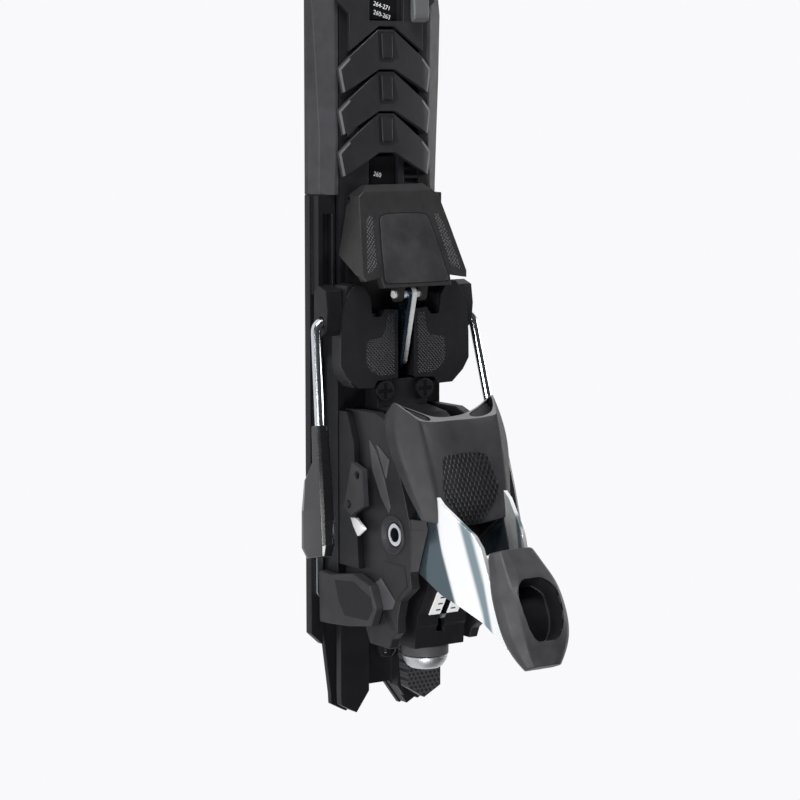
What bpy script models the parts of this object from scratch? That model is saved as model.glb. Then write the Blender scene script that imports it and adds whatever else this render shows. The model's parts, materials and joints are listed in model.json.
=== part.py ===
"""Alpine heel binding with ski brake, on its length-adjusting track plate.

World frame: +X towards the toe of the ski, +Y to the left, +Z up from the ski.
The origin is on the underside of the base plate, below the brake's shaft.
All sizes below are in millimetres; MM turns them into Blender's metres.
"""
import math

import bmesh
import bpy
from mathutils import Vector

MM = 0.001
GAP = 0.3            # what two touching pieces keep between them
RUN = 0.4            # running clearance of sliding and turning pieces

# ---- driving dimensions: track plate -------------------------------------
PLATE_FRONT = 152.0          # front end of the base plate
PLATE_REAR = -192.6          # tips of its two rear legs
PLATE_HALF = 29.5            # half width of the base plate
PLATE_T = 3.0                # its thickness
NOTCH_DEPTH = 11.6           # notch between the rear legs
RAIL_WEB_HALF = 20.0         # web of the guide rail
RAIL_HALF = 24.5             # flange of the guide rail
RAIL_TOP = 12.0              # running surface of the guide rail
RAIL_LIP = 4.0               # thickness of its flange
TROUGH_HALF = 8.3            # open trough along the middle of the rail
TROUGH_FLOOR = 6.3
RACK_IN = 12.0               # groove that holds the toothed rack
RACK_OUT = 20.0
RACK_FLOOR = 9.3
TOOTH_PITCH = 4.0
SIDE_HALF = 36.5             # half width over the side strips
STRIP_TOP = 4.6
STRIP_REAR = -158.0
STEP_X = 56.5                # where the front fairings meet the side strips
STEP_TOP = 10.0
SLOT_REAR = 14.0             # long slot in the raised part of the side strip
SLOT_FRONT = 47.5

# ---- chevron covers -------------------------------------------------------
CHEVRONS = 3
CHEVRON_PITCH = 19.4
CHEVRON_APEX = 114.4         # lower edge of the foremost cover, on the centre line
CHEVRON_TOP = 15.6
CHEVRON_HALF = 26.7

# ---- heel carriage --------------------------------------------------------
CARRIAGE_REAR = -146.0
CARRIAGE_FRONT = 2.0
TONGUE_FRONT = 56.0
CARRIAGE_TOP = 17.0
CARRIAGE_HALF = 29.2
WALL = 2.6                   # walls of the moulded shells
LOCK_PIN_X = -160.0          # pin of the lock lever, behind the heel
LOCK_PIN_Z = 25.0
LOCK_PIN_R = 1.5
LOCK_LUG_R = 3.0             # lug of the carriage that the lever turns on
LOCK_LUG_IN = 10.0
LOCK_LUG_OUT = 16.0

# ---- brake ----------------------------------------------------------------
SHAFT_X = -1.7
SHAFT_Z = 22.0
WIRE_R = 2.3
WIRE_Y = 44.6                # wire's centre where it leaves its bend
WIRE_RISE = 12.0             # degrees above the ski
WIRE_SPLAY = 5.0             # degrees outwards
WIRE_LENGTH = 52.0
BEARING_IN = 33.0
BEARING_OUT = WIRE_Y - WIRE_R - 0.8
PEDAL_PIN_X = 54.0
PEDAL_PIN_Z = 16.4
PEDAL_SLOPE = 20.8           # degrees, rising to the tail
LINK_PIN_X = 10.5
LINK_PIN_Z = 33.4
LINK_LENGTH = 32.3
LINK_DIP = 12.5              # degrees, falling to the tail

# ---- front shells ---------------------------------------------------------
SHELL_TOP = 31.0
SHELL_IN = 5.2               # half width of the slot between the two shells
NOTCH_IN = 12.5
NOTCH_OUT = 20.5
SHELL_SCREW_X = -34.8
SHELL_SCREW_Y = 11.3
FOOT_TOP = 28.2              # front foot of the housing, under the screws

# ---- heel -----------------------------------------------------------------
AXLE_X = -98.0
AXLE_Z = 57.0
AXLE_R = 5.4
AXLE_BORE = 3.3
CORE_HALF = 14.0             # middle block of the housing
ARM_IN = CORE_HALF + RUN     # arms of the cup
FORK_OUT = 19.8              # steel fork of the lever
FORK_T = 2.0
ARM_OUT = FORK_OUT - FORK_T - RUN
CHEEK_IN = FORK_OUT + 0.5    # outer cheeks of the housing
CHEEK_OUT = 25.3
CUP_WALL = 3.2
SPRING_Z = 46.7              # axis of the release spring and its screw
SPRING_R = 9.0
SPRING_WIRE = 1.5
SCREW_HEAD_R = 11.15
HOUSING_REAR = -152.6

MATERIALS = {
    "black_plastic": ((0.030, 0.030, 0.033), 0.0, 0.50),
    "dark_plastic": ((0.018, 0.018, 0.020), 0.0, 0.55),
    "gloss_black": ((0.012, 0.012, 0.013), 0.0, 0.20),
    "rubber": ((0.022, 0.022, 0.024), 0.0, 0.75),
    "polished_steel": ((0.80, 0.81, 0.82), 1.0, 0.12),
    "zinc_steel": ((0.62, 0.65, 0.68), 1.0, 0.28),
    "white_plastic": ((0.75, 0.76, 0.76), 0.0, 0.45),
    "grey_plastic": ((0.22, 0.23, 0.24), 0.0, 0.45),
}


# ---- helpers --------------------------------------------------------------
def clear_scene():
    """Start from an empty scene."""
    for old in list(bpy.data.objects):
        bpy.data.objects.remove(old, do_unlink=True)


def material(name):
    """Make a named Principled material once."""
    found = bpy.data.materials.get(name)
    if found:
        return found
    colour, metallic, roughness = MATERIALS[name]
    made = bpy.data.materials.new(name)
    made.use_nodes = True
    shader = made.node_tree.nodes["Principled BSDF"]
    shader.inputs["Base Color"].default_value = (*colour, 1.0)
    shader.inputs["Metallic"].default_value = metallic
    shader.inputs["Roughness"].default_value = roughness
    return made


def to_object(bm, name, finish, origin=(0.0, 0.0, 0.0)):
    """Turn a bmesh in millimetres into a named object with its origin on `origin`."""
    bmesh.ops.recalc_face_normals(bm, faces=bm.faces)
    centre = Vector(origin)
    bmesh.ops.translate(bm, verts=bm.verts, vec=-centre)
    bmesh.ops.scale(bm, verts=bm.verts, vec=(MM, MM, MM))
    mesh = bpy.data.meshes.new(name)
    bm.to_mesh(mesh)
    bm.free()
    obj = bpy.data.objects.new(name, mesh)
    obj.location = centre * MM
    bpy.context.scene.collection.objects.link(obj)
    if finish:
        mesh.materials.append(material(finish))
    return obj


def place(axis, first, second, along):
    """A point from its two outline numbers and its height along the axis."""
    if axis == "X":
        return (along, first, second)
    if axis == "Y":
        return (first, along, second)
    return (first, second, along)


def prism_mesh(outline, axis, low, high, taper=None):
    """An outline pushed along an axis; `taper` gives the far end another outline."""
    bm = bmesh.new()
    far_outline = taper or outline
    near = [bm.verts.new(place(axis, a, b, low)) for a, b in outline]
    far = [bm.verts.new(place(axis, a, b, high)) for a, b in far_outline]
    bm.faces.new(near)
    bm.faces.new(far)
    count = len(near)
    for i in range(count):
        j = (i + 1) % count
        bm.faces.new((near[i], near[j], far[j], far[i]))
    return bm


def prism(name, finish, outline, axis, low, high, taper=None, origin=(0, 0, 0)):
    """A named prism."""
    return to_object(prism_mesh(outline, axis, low, high, taper), name, finish, origin)


def box_outline(low_a, high_a, low_b, high_b):
    """A rectangle as an outline."""
    return [(low_a, low_b), (high_a, low_b), (high_a, high_b), (low_a, high_b)]


def circle_outline(centre, radius, sides=24):
    """A round outline."""
    step = 2 * math.pi / sides
    return [(centre[0] + radius * math.cos(i * step), centre[1] + radius * math.sin(i * step))
            for i in range(sides)]


def arc(centre, radius, start, end, steps=6):
    """Points along an arc, angles in degrees."""
    points = []
    for i in range(steps + 1):
        angle = math.radians(start + (end - start) * i / steps)
        points.append((centre[0] + radius * math.cos(angle),
                       centre[1] + radius * math.sin(angle)))
    return points


def both_sides(half):
    """Close a half outline, given from front to rear on the left, on the right side too."""
    return half + [(a, -b) for a, b in reversed(half)]


def cutter(name, outline, axis, low, high, taper=None):
    """A hidden solid that is cut away from others."""
    tool = prism(name, None, outline, axis, low, high, taper)
    tool.hide_render = True
    tool.display_type = "WIRE"
    return tool


def boolean(obj, tool, operation="DIFFERENCE"):
    """Combine an object with a hidden tool."""
    change = obj.modifiers.new(tool.name, "BOOLEAN")
    change.operation = operation
    change.object = tool
    tool.hide_render = True
    tool.display_type = "WIRE"
    return obj


def bore(obj, name, axis, centre, radius, low, high, sides=24):
    """Drill a round hole."""
    return boolean(obj, cutter(name, circle_outline(centre, radius, sides), axis, low, high))


def soften(obj, width, segments=1, angle=35.0):
    """Round the sharp edges a little."""
    edge = obj.modifiers.new("Softened edges", "BEVEL")
    edge.width = width * MM
    edge.segments = segments
    edge.limit_method = "ANGLE"
    edge.angle_limit = math.radians(angle)
    edge.use_clamp_overlap = True
    return obj


def smooth(obj, angle=35.0):
    """Shade round pieces smooth and keep their edges sharp."""
    obj.data.shade_smooth()
    obj.data.set_sharp_from_angle(angle=math.radians(angle))
    return obj


def turned(name, finish, profile, centre, axis, sides=24, origin=(0, 0, 0)):
    """Turn a closed profile of (along, radius) pairs round an axis through `centre`.

    A profile that starts and ends at radius 0 makes a solid, any other a ring.
    """
    bm = bmesh.new()
    frames = {"X": (Vector((1, 0, 0)), Vector((0, 1, 0)), Vector((0, 0, 1))),
              "Y": (Vector((0, 1, 0)), Vector((0, 0, 1)), Vector((1, 0, 0))),
              "Z": (Vector((0, 0, 1)), Vector((1, 0, 0)), Vector((0, 1, 0)))}
    along, side, up = frames[axis]
    middle = Vector(centre)
    rings = []
    for distance, radius in profile:
        if radius < 1e-6:
            rings.append([bm.verts.new(middle + along * distance)])
            continue
        ring = []
        for i in range(sides):
            angle = 2 * math.pi * i / sides
            spoke = side * math.cos(angle) + up * math.sin(angle)
            ring.append(bm.verts.new(middle + along * distance + spoke * radius))
        rings.append(ring)
    open_ends = len(rings[0]) == 1
    last = len(rings) - 1 if open_ends else len(rings)
    for k in range(last):
        first, second = rings[k], rings[(k + 1) % len(rings)]
        for i in range(sides):
            j = (i + 1) % sides
            corners = [first[i % len(first)], first[j % len(first)],
                       second[j % len(second)], second[i % len(second)]]
            bm.faces.new(list(dict.fromkeys(corners)))
    return smooth(to_object(bm, name, finish, origin))


def swept(name, finish, path, radius, sides=10, closed_caps=True, origin=(0, 0, 0)):
    """A round bar along a list of points."""
    bm = bmesh.new()
    points = [Vector(p) for p in path]
    normal = None
    rings = []
    for k, point in enumerate(points):
        ahead = points[min(k + 1, len(points) - 1)]
        behind = points[max(k - 1, 0)]
        tangent = (ahead - behind).normalized()
        if normal is None:
            normal = tangent.orthogonal().normalized()
        normal = (normal - tangent * normal.dot(tangent)).normalized()
        across = tangent.cross(normal)
        rings.append([bm.verts.new(point + radius * (normal * math.cos(2 * math.pi * i / sides)
                                                     + across * math.sin(2 * math.pi * i / sides)))
                      for i in range(sides)])
    for first, second in zip(rings, rings[1:]):
        for i in range(sides):
            j = (i + 1) % sides
            bm.faces.new((first[i], first[j], second[j], second[i]))
    if closed_caps:
        bm.faces.new(rings[0])
        bm.faces.new(rings[-1])
    return smooth(to_object(bm, name, finish, origin))


def lofted(name, finish, rings, origin=(0, 0, 0)):
    """Skin closed rings of points that all have the same number of points."""
    bm = bmesh.new()
    loops = [[bm.verts.new(p) for p in ring] for ring in rings]
    for first, second in zip(loops, loops[1:]):
        for i in range(len(first)):
            j = (i + 1) % len(first)
            bm.faces.new((first[i], first[j], second[j], second[i]))
    bm.faces.new(loops[0])
    bm.faces.new(loops[-1])
    bmesh.ops.triangulate(bm, faces=bm.faces)
    return to_object(bm, name, finish, origin)


# ---- track plate ----------------------------------------------------------
def rear_legs(half, clearance=0.0):
    """Rear end of the plate and rail: two legs with a notch between them."""
    rear = PLATE_REAR + clearance
    return [(rear + 9.6, half - 5.0), (rear + 4.6, half - 5.3), (rear, half - 14.0),
            (rear + NOTCH_DEPTH, 7.0)]


def base_plate():
    half = [(PLATE_FRONT, PLATE_HALF), (CARRIAGE_REAR, PLATE_HALF)] + rear_legs(PLATE_HALF)
    prism("base_plate", "dark_plastic", both_sides(half), "Z", 0.0, PLATE_T)


def guide_rail():
    """T rail with an open trough and a groove for the rack."""
    low = PLATE_T + GAP
    flange_low = RAIL_TOP - RAIL_LIP
    section = [(-RAIL_WEB_HALF, low), (RAIL_WEB_HALF, low), (RAIL_WEB_HALF, flange_low),
               (RAIL_HALF, flange_low), (RAIL_HALF, RAIL_TOP), (TROUGH_HALF, RAIL_TOP),
               (TROUGH_HALF, TROUGH_FLOOR), (-TROUGH_HALF, TROUGH_FLOOR),
               (-TROUGH_HALF, RAIL_TOP), (-RACK_IN, RAIL_TOP), (-RACK_IN, RACK_FLOOR),
               (-RACK_OUT, RACK_FLOOR), (-RACK_OUT, RAIL_TOP), (-RAIL_HALF, RAIL_TOP),
               (-RAIL_HALF, flange_low), (-RAIL_WEB_HALF, flange_low)]
    rail = prism("guide_rail", "black_plastic", section, "X", PLATE_REAR, PLATE_FRONT - 2.0)
    far = PLATE_REAR - 20.0
    legs = rear_legs(PLATE_HALF, 1.0)
    ends = [(far, 40.0), (legs[0][0], 40.0), (legs[0][0], legs[0][1])] + legs[1:]
    boolean(rail, cutter("rail_end_cut", both_sides(ends), "Z", 0.0, RAIL_TOP + 5.0))
    for number, (x, y) in enumerate(screw_places()):
        bore(rail, "rail_screw_hole_%d" % number, "Z", (x, y), 3.9 + GAP, 0.0, RAIL_TOP + 2.0, 12)


def screw_places():
    """Screws that hold the track to the ski, under the chevron covers."""
    return [(x, 16.0) for x in (85.0, 128.0)]


def plate_screws():
    for number, spot in enumerate(screw_places()):
        prism("plate_screw_%d" % (number + 1), "zinc_steel", circle_outline(spot, 3.9, 12), "Z",
              PLATE_T + GAP, RAIL_TOP - 0.6)


def rack_strip():
    """Toothed strip that the carriage locks into."""
    floor = RACK_FLOOR + GAP
    root = RAIL_TOP - 1.6
    tip = RAIL_TOP - 0.2
    start = CARRIAGE_REAR
    count = int((73.0 - start) / TOOTH_PITCH)
    outline = [(start, floor)]
    outline.append((start + count * TOOTH_PITCH, floor))
    for i in range(count, 0, -1):
        x = start + i * TOOTH_PITCH
        outline += [(x, root), (x - TOOTH_PITCH * 0.35, tip), (x - TOOTH_PITCH * 0.65, tip)]
    outline.append((start, root))
    prism("rack_strip", "black_plastic", outline, "Y", -RACK_OUT + GAP, -RACK_IN - GAP)


def front_fairings():
    """Sloped side covers of the front half of the plate."""
    low = PLATE_T + GAP
    inner = RAIL_HALF + GAP
    section = [(PLATE_HALF + GAP, 0.0), (SIDE_HALF, 0.0), (SIDE_HALF, 2.5), (27.8, RAIL_TOP),
               (inner, RAIL_TOP), (inner, low), (PLATE_HALF + GAP, low)]
    for side, name in ((1, "left"), (-1, "right")):
        outline = [(side * y, z) for y, z in section]
        prism("front_fairing_" + name, "black_plastic", outline, "X",
              STEP_X, PLATE_FRONT - 2.0)


def side_strips():
    """Outer strips beside the carriage, raised and slotted in front."""
    inner = PLATE_HALF + GAP
    for side, name in ((1, "left"), (-1, "right")):
        outline = [(STEP_X - GAP, side * inner), (STEP_X - GAP, side * SIDE_HALF),
                   (STRIP_REAR + 6.0, side * SIDE_HALF), (STRIP_REAR, side * inner)]
        strip = prism("side_strip_" + name, "dark_plastic", outline, "Z", 0.0, STRIP_TOP)
        step = [(CARRIAGE_FRONT + 8.0, side * 25.8), (STEP_X - GAP, side * 25.8),
                (STEP_X - GAP, side * 35.2), (CARRIAGE_FRONT + 8.0, side * 35.2)]
        raised = cutter("side_step_" + name, step, "Z", PLATE_T + GAP, STEP_TOP)
        boolean(strip, raised, "UNION")
        slot = [(SLOT_REAR, side * 27.6), (SLOT_FRONT, side * 27.6),
                (SLOT_FRONT, side * 32.4), (SLOT_REAR, side * 32.4)]
        boolean(strip, cutter("side_slot_" + name, slot, "Z", 5.6, STEP_TOP + 3.0))


def track_bars():
    """Steel bars that lie on the side strips."""
    for side, name in ((1, "left"), (-1, "right")):
        outline = [(-20.0, side * 30.6), (-20.0, side * 34.2), (-132.5, side * 34.2),
                   (-135.5, side * 31.5), (-135.5, side * 30.6)]
        prism("track_bar_" + name, "polished_steel", outline, "Z", STRIP_TOP + GAP, 6.3)


def chevron_covers():
    """Flexible covers over the track in front of the heel, one behind the other."""
    for number in range(CHEVRONS):
        apex = CHEVRON_APEX - number * CHEVRON_PITCH
        half = [(apex + CHEVRON_PITCH - 0.8, 4.4), (apex + 6.1, 20.5), (apex + 0.4, CHEVRON_HALF),
                (apex - 11.3, 24.4), (apex, 4.4)]
        prism("chevron_cover_%d" % (number + 1), "black_plastic", both_sides(half), "Z",
              RAIL_TOP + GAP, CHEVRON_TOP)


def front_cover():
    """Cover of the foremost stretch, with the window for its scale."""
    apex = CHEVRON_APEX + CHEVRON_PITCH
    outline = [(PLATE_FRONT, 9.6), (PLATE_FRONT, 27.5), (146.0, 27.5), (140.0, 20.8),
               (apex - 11.0, 20.8), (apex + 0.6, 4.4), (apex + 0.6, -4.4),
               (apex - 11.0, -20.8), (140.0, -20.8), (146.0, -27.5), (PLATE_FRONT, -27.5),
               (PLATE_FRONT, -9.6), (137.0, -9.6), (137.0, 9.6)]
    prism("front_cover", "black_plastic", outline, "Z", RAIL_TOP + GAP, CHEVRON_TOP - 0.6)
    prism("front_scale", "gloss_black", box_outline(137.6, PLATE_FRONT - 2.3, -7.9, 7.9), "Z",
          TROUGH_FLOOR + GAP, 10.6)
    prism("heel_scale", "gloss_black", box_outline(-60.0, 74.0, -7.9, 7.9), "Z",
          TROUGH_FLOOR + GAP, 10.0)


def front_lock_hook():
    """Tail of the lock lever of the toe unit's slide."""
    side_view = [(136.0, 16.2), (140.0, 15.6), (152.0, 15.6), (152.0, 19.0), (141.0, 20.0),
                 (137.5, 19.2)]
    hook = prism("front_lock_hook", "grey_plastic", side_view, "Y", -21.5, -12.5,
                 origin=(150.0, -17.0, 17.2))
    soften(hook, 0.8)


# ---- heel carriage --------------------------------------------------------
def heel_carriage():
    """Slide that wraps round the guide rail and carries the brake and the heel."""
    flange_low = RAIL_TOP - RAIL_LIP
    inner = RAIL_HALF + RUN
    web = RAIL_WEB_HALF + RUN
    section = [(-CARRIAGE_HALF, 4.0), (-web, 4.0), (-web, flange_low - RUN),
               (-inner, flange_low - RUN), (-inner, RAIL_TOP + RUN), (inner, RAIL_TOP + RUN),
               (inner, flange_low - RUN), (web, flange_low - RUN), (web, 4.0),
               (CARRIAGE_HALF, 4.0), (CARRIAGE_HALF, CARRIAGE_TOP), (-CARRIAGE_HALF, CARRIAGE_TOP)]
    body = prism("heel_carriage", "black_plastic", section, "X", CARRIAGE_REAR, CARRIAGE_FRONT)
    tongue = cutter("carriage_tongue", box_outline(-22.0, 22.0, RAIL_TOP + RUN, 15.2), "X",
                    CARRIAGE_FRONT - 5.0, TONGUE_FRONT)
    boolean(body, tongue, "UNION")
    for side in (1, -1):
        ear = [(50.4, 14.0), (55.9, 14.0)] + arc((PEDAL_PIN_X, PEDAL_PIN_Z), 3.6, 0, 180, 6)
        low, high = sorted((side * 12.0, side * 17.0))
        boolean(body, cutter("pedal_ear_%d" % side, ear, "Y", low, high), "UNION")
    bore(body, "pedal_pin_hole", "Y", (PEDAL_PIN_X, PEDAL_PIN_Z), 1.8 + GAP, -30.0, 30.0, 12)
    bracket = [(CARRIAGE_REAR + 4.0, 14.0), (CARRIAGE_REAR + 4.0, 16.9),
               (LOCK_PIN_X + 7.0, 16.9)]
    bracket += arc((LOCK_PIN_X, LOCK_PIN_Z), LOCK_LUG_R, 15, 215, 8)
    bracket += [(LOCK_PIN_X + 4.0, 14.0)]
    boolean(body, cutter("lock_bracket", bracket, "Y", -LOCK_LUG_OUT, -LOCK_LUG_IN), "UNION")
    bore(body, "lock_pin_hole", "Y", (LOCK_PIN_X, LOCK_PIN_Z), LOCK_PIN_R + GAP, -30.0, 0.0, 12)
    holder = box_outline(-7.6, 7.6, 13.0, CARRIAGE_TOP)
    boolean(body, cutter("worm_holder_blank", holder, "X", CARRIAGE_REAR - 0.5,
                         CARRIAGE_REAR + 3.0), "UNION")


def shell_outline(side, inset=0.0):
    """Plan of one front shell, drawn for the left and mirrored for the right."""
    i = inset
    half = [(3.0 - i, SHELL_IN + i), (3.0 - i, NOTCH_IN - i), (-0.5 - i, NOTCH_IN - i),
            (-0.5 - i, NOTCH_OUT + i), (9.5 - i, NOTCH_OUT + i), (16.0 - i, 26.0 - i),
            (15.0 - i, 31.0 - i), (4.0, 32.5 - i), (-9.5, 32.5 - i), (-12.0, 36.5 - i),
            (-25.0, 36.5 - i), (-33.0 + i, 27.5 - i), (-31.5 + i, 18.0 - i),
            (-28.8 + i, 17.0 - i), (-28.8 + i, SHELL_IN + i)]
    return [(x, side * y) for x, y in half]


def front_shells():
    """Moulded shells over the brake's shaft, open below."""
    low = CARRIAGE_TOP + GAP
    for side, name in ((1, "left"), (-1, "right")):
        shell = prism("front_shell_" + name, "black_plastic", shell_outline(side), "Z", low,
                      SHELL_TOP, taper=shell_outline(side, 0.9))
        room = [(-6.5, SHELL_IN + WALL), (-6.5, 32.5 - WALL), (-9.5, 32.5 - WALL),
                (-12.5, 36.5 - WALL), (-24.0, 36.5 - WALL), (-30.2, 26.6), (-28.6, 20.6),
                (-28.8 + WALL, 17.0 - WALL), (-28.8 + WALL, SHELL_IN + WALL)]
        hollow = cutter("front_shell_hollow_" + name, [(x, side * y) for x, y in room], "Z",
                        low - 2.0, SHELL_TOP - WALL)
        boolean(shell, hollow)
        bore(shell, "front_shell_bore_" + name, "Y", (SHAFT_X, SHAFT_Z), 3.8, -45.0, 45.0, 16)
        prism("shell_screw_" + name, "dark_plastic",
              circle_outline((SHELL_SCREW_X, side * SHELL_SCREW_Y), 4.9, 20), "Z",
              FOOT_TOP + GAP, FOOT_TOP + 2.4)


def heel_housing():
    """Middle block of the housing, bored for the release spring."""
    low = CARRIAGE_TOP + GAP
    side_view = [(-29.8, low), (-29.8, FOOT_TOP), (-42.5, FOOT_TOP), (-44.5, 44.0), (-48.0, 50.0),
                 (-66.0, 58.5), (-84.0, 66.5), (-98.0, 70.0), (-119.0, 70.0), (-123.7, 68.4),
                 (-137.0, 60.4), (-141.5, 60.4), (-143.5, 59.0), (HOUSING_REAR, 58.4),
                 (HOUSING_REAR, 33.5), (-144.0, 28.0), (-140.0, low)]
    core = prism("heel_housing", "black_plastic", side_view, "Y", -CORE_HALF, CORE_HALF)
    bore(core, "spring_bore", "X", (0.0, SPRING_Z), SPRING_R + 1.2, HOUSING_REAR - 5.0, -107.0, 24)
    bore(core, "housing_axle_bore", "Y", (AXLE_X, AXLE_Z), AXLE_R + GAP, -30.0, 30.0)
    slot = cutter("pointer_slot", box_outline(-145.5, -128.5, -2.0, 2.0), "Z", SPRING_Z, 80.0)
    boolean(core, slot)
    foot = [(-40.0, low + 2.0), (-40.0, 26.5), (-29.0, 26.5), (-29.0, low + 2.0)]
    boolean(core, cutter("link_end_room", foot, "Y", -4.6, 4.6))


def cheek_outline():
    """Side view of an outer cheek of the housing."""
    low = CARRIAGE_TOP + GAP
    return [(-43.0, low), (-43.0, 42.0), (-45.5, 49.5), (-60.0, 58.0), (-80.0, 66.5),
            (-95.0, 71.5), (-113.0, 70.5), (-121.0, 72.0), (-128.0, 63.0), (-137.0, 60.5),
            (-143.5, 60.5), (-147.0, 56.0), (-152.0, 54.0), (-152.0, 38.0), (-143.0, 33.0),
            (-125.0, 29.0), (-125.0, low)]


def cheeks():
    """Outer cheeks, with a stepped recess round the axle."""
    for side, name in ((1, "left"), (-1, "right")):
        low, high = sorted((side * CHEEK_IN, side * CHEEK_OUT))
        cheek = prism("housing_cheek_" + name, "black_plastic", cheek_outline(), "Y", low, high)
        bore(cheek, "cheek_bore_" + name, "Y", (AXLE_X, AXLE_Z), AXLE_R + GAP, -30.0, 30.0)
        low, high = sorted((side * (CHEEK_OUT - 1.2), side * (CHEEK_OUT + 2.0)))
        bore(cheek, "cheek_recess_" + name, "Y", (AXLE_X, AXLE_Z), AXLE_R + 3.0, low, high)


def side_blocks():
    """Lower side blocks of the carriage, between the shells and the rear guards."""
    low = CARRIAGE_TOP + GAP
    outline = [(-44.0, low), (-44.0, 24.0), (-58.0, 30.0), (-92.0, 32.0), (-117.0, 34.0),
               (-117.0, low)]
    for side, name in ((1, "left"), (-1, "right")):
        a, b = sorted((side * (CHEEK_OUT + GAP), side * 28.8))
        prism("side_block_" + name, "dark_plastic", outline, "Y", a, b)


def rear_guards():
    """C-shaped guards at the carriage's rear corners, leaning in above the rail."""
    side_view = [(-121.0, 7.2), (-121.4, 17.6), (-119.0, 33.0), (-123.0, 46.0),
                 (-133.0, 50.5), (-142.0, 46.4), (-144.5, 30.0), (-145.8, 8.0)]
    inner = CARRIAGE_HALF + GAP
    section = [(inner, 5.0), (34.2, 5.0), (34.2, 16.0), (30.2, 52.0), (CHEEK_OUT + GAP, 52.0),
               (CHEEK_OUT + GAP, 34.0), (inner, CARRIAGE_TOP + GAP)]
    for side, name in ((1, "left"), (-1, "right")):
        low, high = sorted((side * 20.0, side * 40.0))
        guard = prism("rear_guard_" + name, "black_plastic", side_view, "Y", low, high)
        shape = cutter("rear_guard_section_" + name, [(side * y, z) for y, z in section], "X",
                       -150.0, -110.0)
        boolean(guard, shape, "INTERSECT")


def side_lever():
    """Small lever with a tool hole on the left side, its pin and the white tab below it."""
    pivot = (-86.5, 0.0, 30.5)
    outline = [(-66.5, 33.0), (-88.0, 26.5), (-91.5, 32.0), (-86.0, 43.5), (-69.0, 42.0)]
    lever = prism("side_lever", "dark_plastic", outline, "Y", 29.4, 32.2, origin=pivot)
    bore(lever, "side_lever_hole", "Y", (-72.0, 37.6), 2.0, 25.0, 36.0, 14)
    bore(lever, "side_lever_pin_hole", "Y", (pivot[0], pivot[2]), 1.5 + GAP, 25.0, 36.0, 12)
    profile = [(29.1, 0.0), (29.1, 1.5), (32.6, 1.5), (32.6, 0.0)]
    turned("side_lever_pin", "dark_plastic", profile, (pivot[0], 0.0, pivot[2]), "Y", 12)
    tab = [(-92.6, 34.2), (-93.0, 29.5), (-97.0, 32.0), (-101.0, 35.5), (-97.0, 41.5)]
    prism("indicator_tab", "white_plastic", tab, "Y", 29.1, 30.6)


def adjust_worm():
    """Screw in the trough that sets the forward pressure."""
    rear = -165.0
    front = CARRIAGE_REAR - 0.5 - GAP
    profile = [(rear, 0.0), (rear, 4.2), (rear + 2.0, 5.2), (front - 2.0, 5.2), (front, 3.6),
               (front, 0.0)]
    turned("adjust_worm", "dark_plastic", profile, (0.0, 0.0, 13.6), "X", 20,
           origin=(rear, 0.0, 13.6))


def lock_lever():
    """Lever that frees the carriage, on the right behind the heel."""
    pin = (LOCK_PIN_X, -(LOCK_LUG_IN + LOCK_LUG_OUT) / 2, LOCK_PIN_Z)
    outline = [(-157.5, -1.5), (-157.5, -20.5), (-179.0, -20.5), (-184.0, -11.0), (-178.0, -1.5)]
    lever = prism("lock_lever", "black_plastic", outline, "Z", 22.0, 30.5, origin=pin)
    wedge = [(-190.0, 26.5), (-190.0, 10.0), (-164.0, 10.0), (-164.0, 22.5)]
    boolean(lever, cutter("lock_lever_under", wedge, "Y", -25.0, 2.0))
    reach = LOCK_LUG_R + RUN
    room = box_outline(LOCK_PIN_X - reach, LOCK_PIN_X + 10.0, 20.0, LOCK_PIN_Z + reach)
    boolean(lever, cutter("lock_lever_room", room, "Y", -LOCK_LUG_OUT - RUN, -LOCK_LUG_IN + RUN))
    bore(lever, "lock_lever_pin_hole", "Y", (LOCK_PIN_X, LOCK_PIN_Z), LOCK_PIN_R + GAP,
         -30.0, 5.0, 12)
    profile = [(-20.0, 0.0), (-20.0, LOCK_PIN_R), (-2.0, LOCK_PIN_R), (-2.0, 0.0)]
    turned("lock_lever_pin", "zinc_steel", profile, (LOCK_PIN_X, 0.0, LOCK_PIN_Z), "Y", 12)


# ---- release spring -------------------------------------------------------
def release_spring():
    """Coil spring between its plunger and its nut."""
    turns = 3.0
    front, rear = -119.8, -130.2
    steps = int(turns * 14)
    path = []
    for i in range(steps + 1):
        angle = 2 * math.pi * turns * i / steps
        path.append((front + (rear - front) * i / steps,
                     (SPRING_R - SPRING_WIRE) * math.cos(angle),
                     SPRING_Z + (SPRING_R - SPRING_WIRE) * math.sin(angle)))
    swept("release_spring", "zinc_steel", path, SPRING_WIRE, sides=8)
    profile = [(-118.0, 0.0), (-118.0, SPRING_R + 0.8), (-111.0, SPRING_R + 0.8),
               (-107.5, 5.0), (-107.5, 0.0)]
    turned("spring_plunger", "zinc_steel", profile, (0.0, 0.0, SPRING_Z), "X", 20)


def spring_nut():
    """Nut that the release screw moves, with the pointer that shows in the window."""
    rear, front = -140.0, -135.5
    profile = [(rear, 3.9), (rear, SPRING_R + 0.8), (front, SPRING_R + 0.8), (front, 3.9)]
    nut = turned("spring_nut", "zinc_steel", profile, (0.0, 0.0, SPRING_Z), "X", 20,
                 origin=(rear, 0.0, SPRING_Z))
    pointer = [(rear + 1.0, SPRING_Z + 6.0), (front - 1.0, SPRING_Z + 6.0),
               (front - 1.0, 62.6), (rear + 1.0, 60.8)]
    boolean(nut, cutter("pointer_blade", pointer, "Y", -1.4, 1.4), "UNION")


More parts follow.
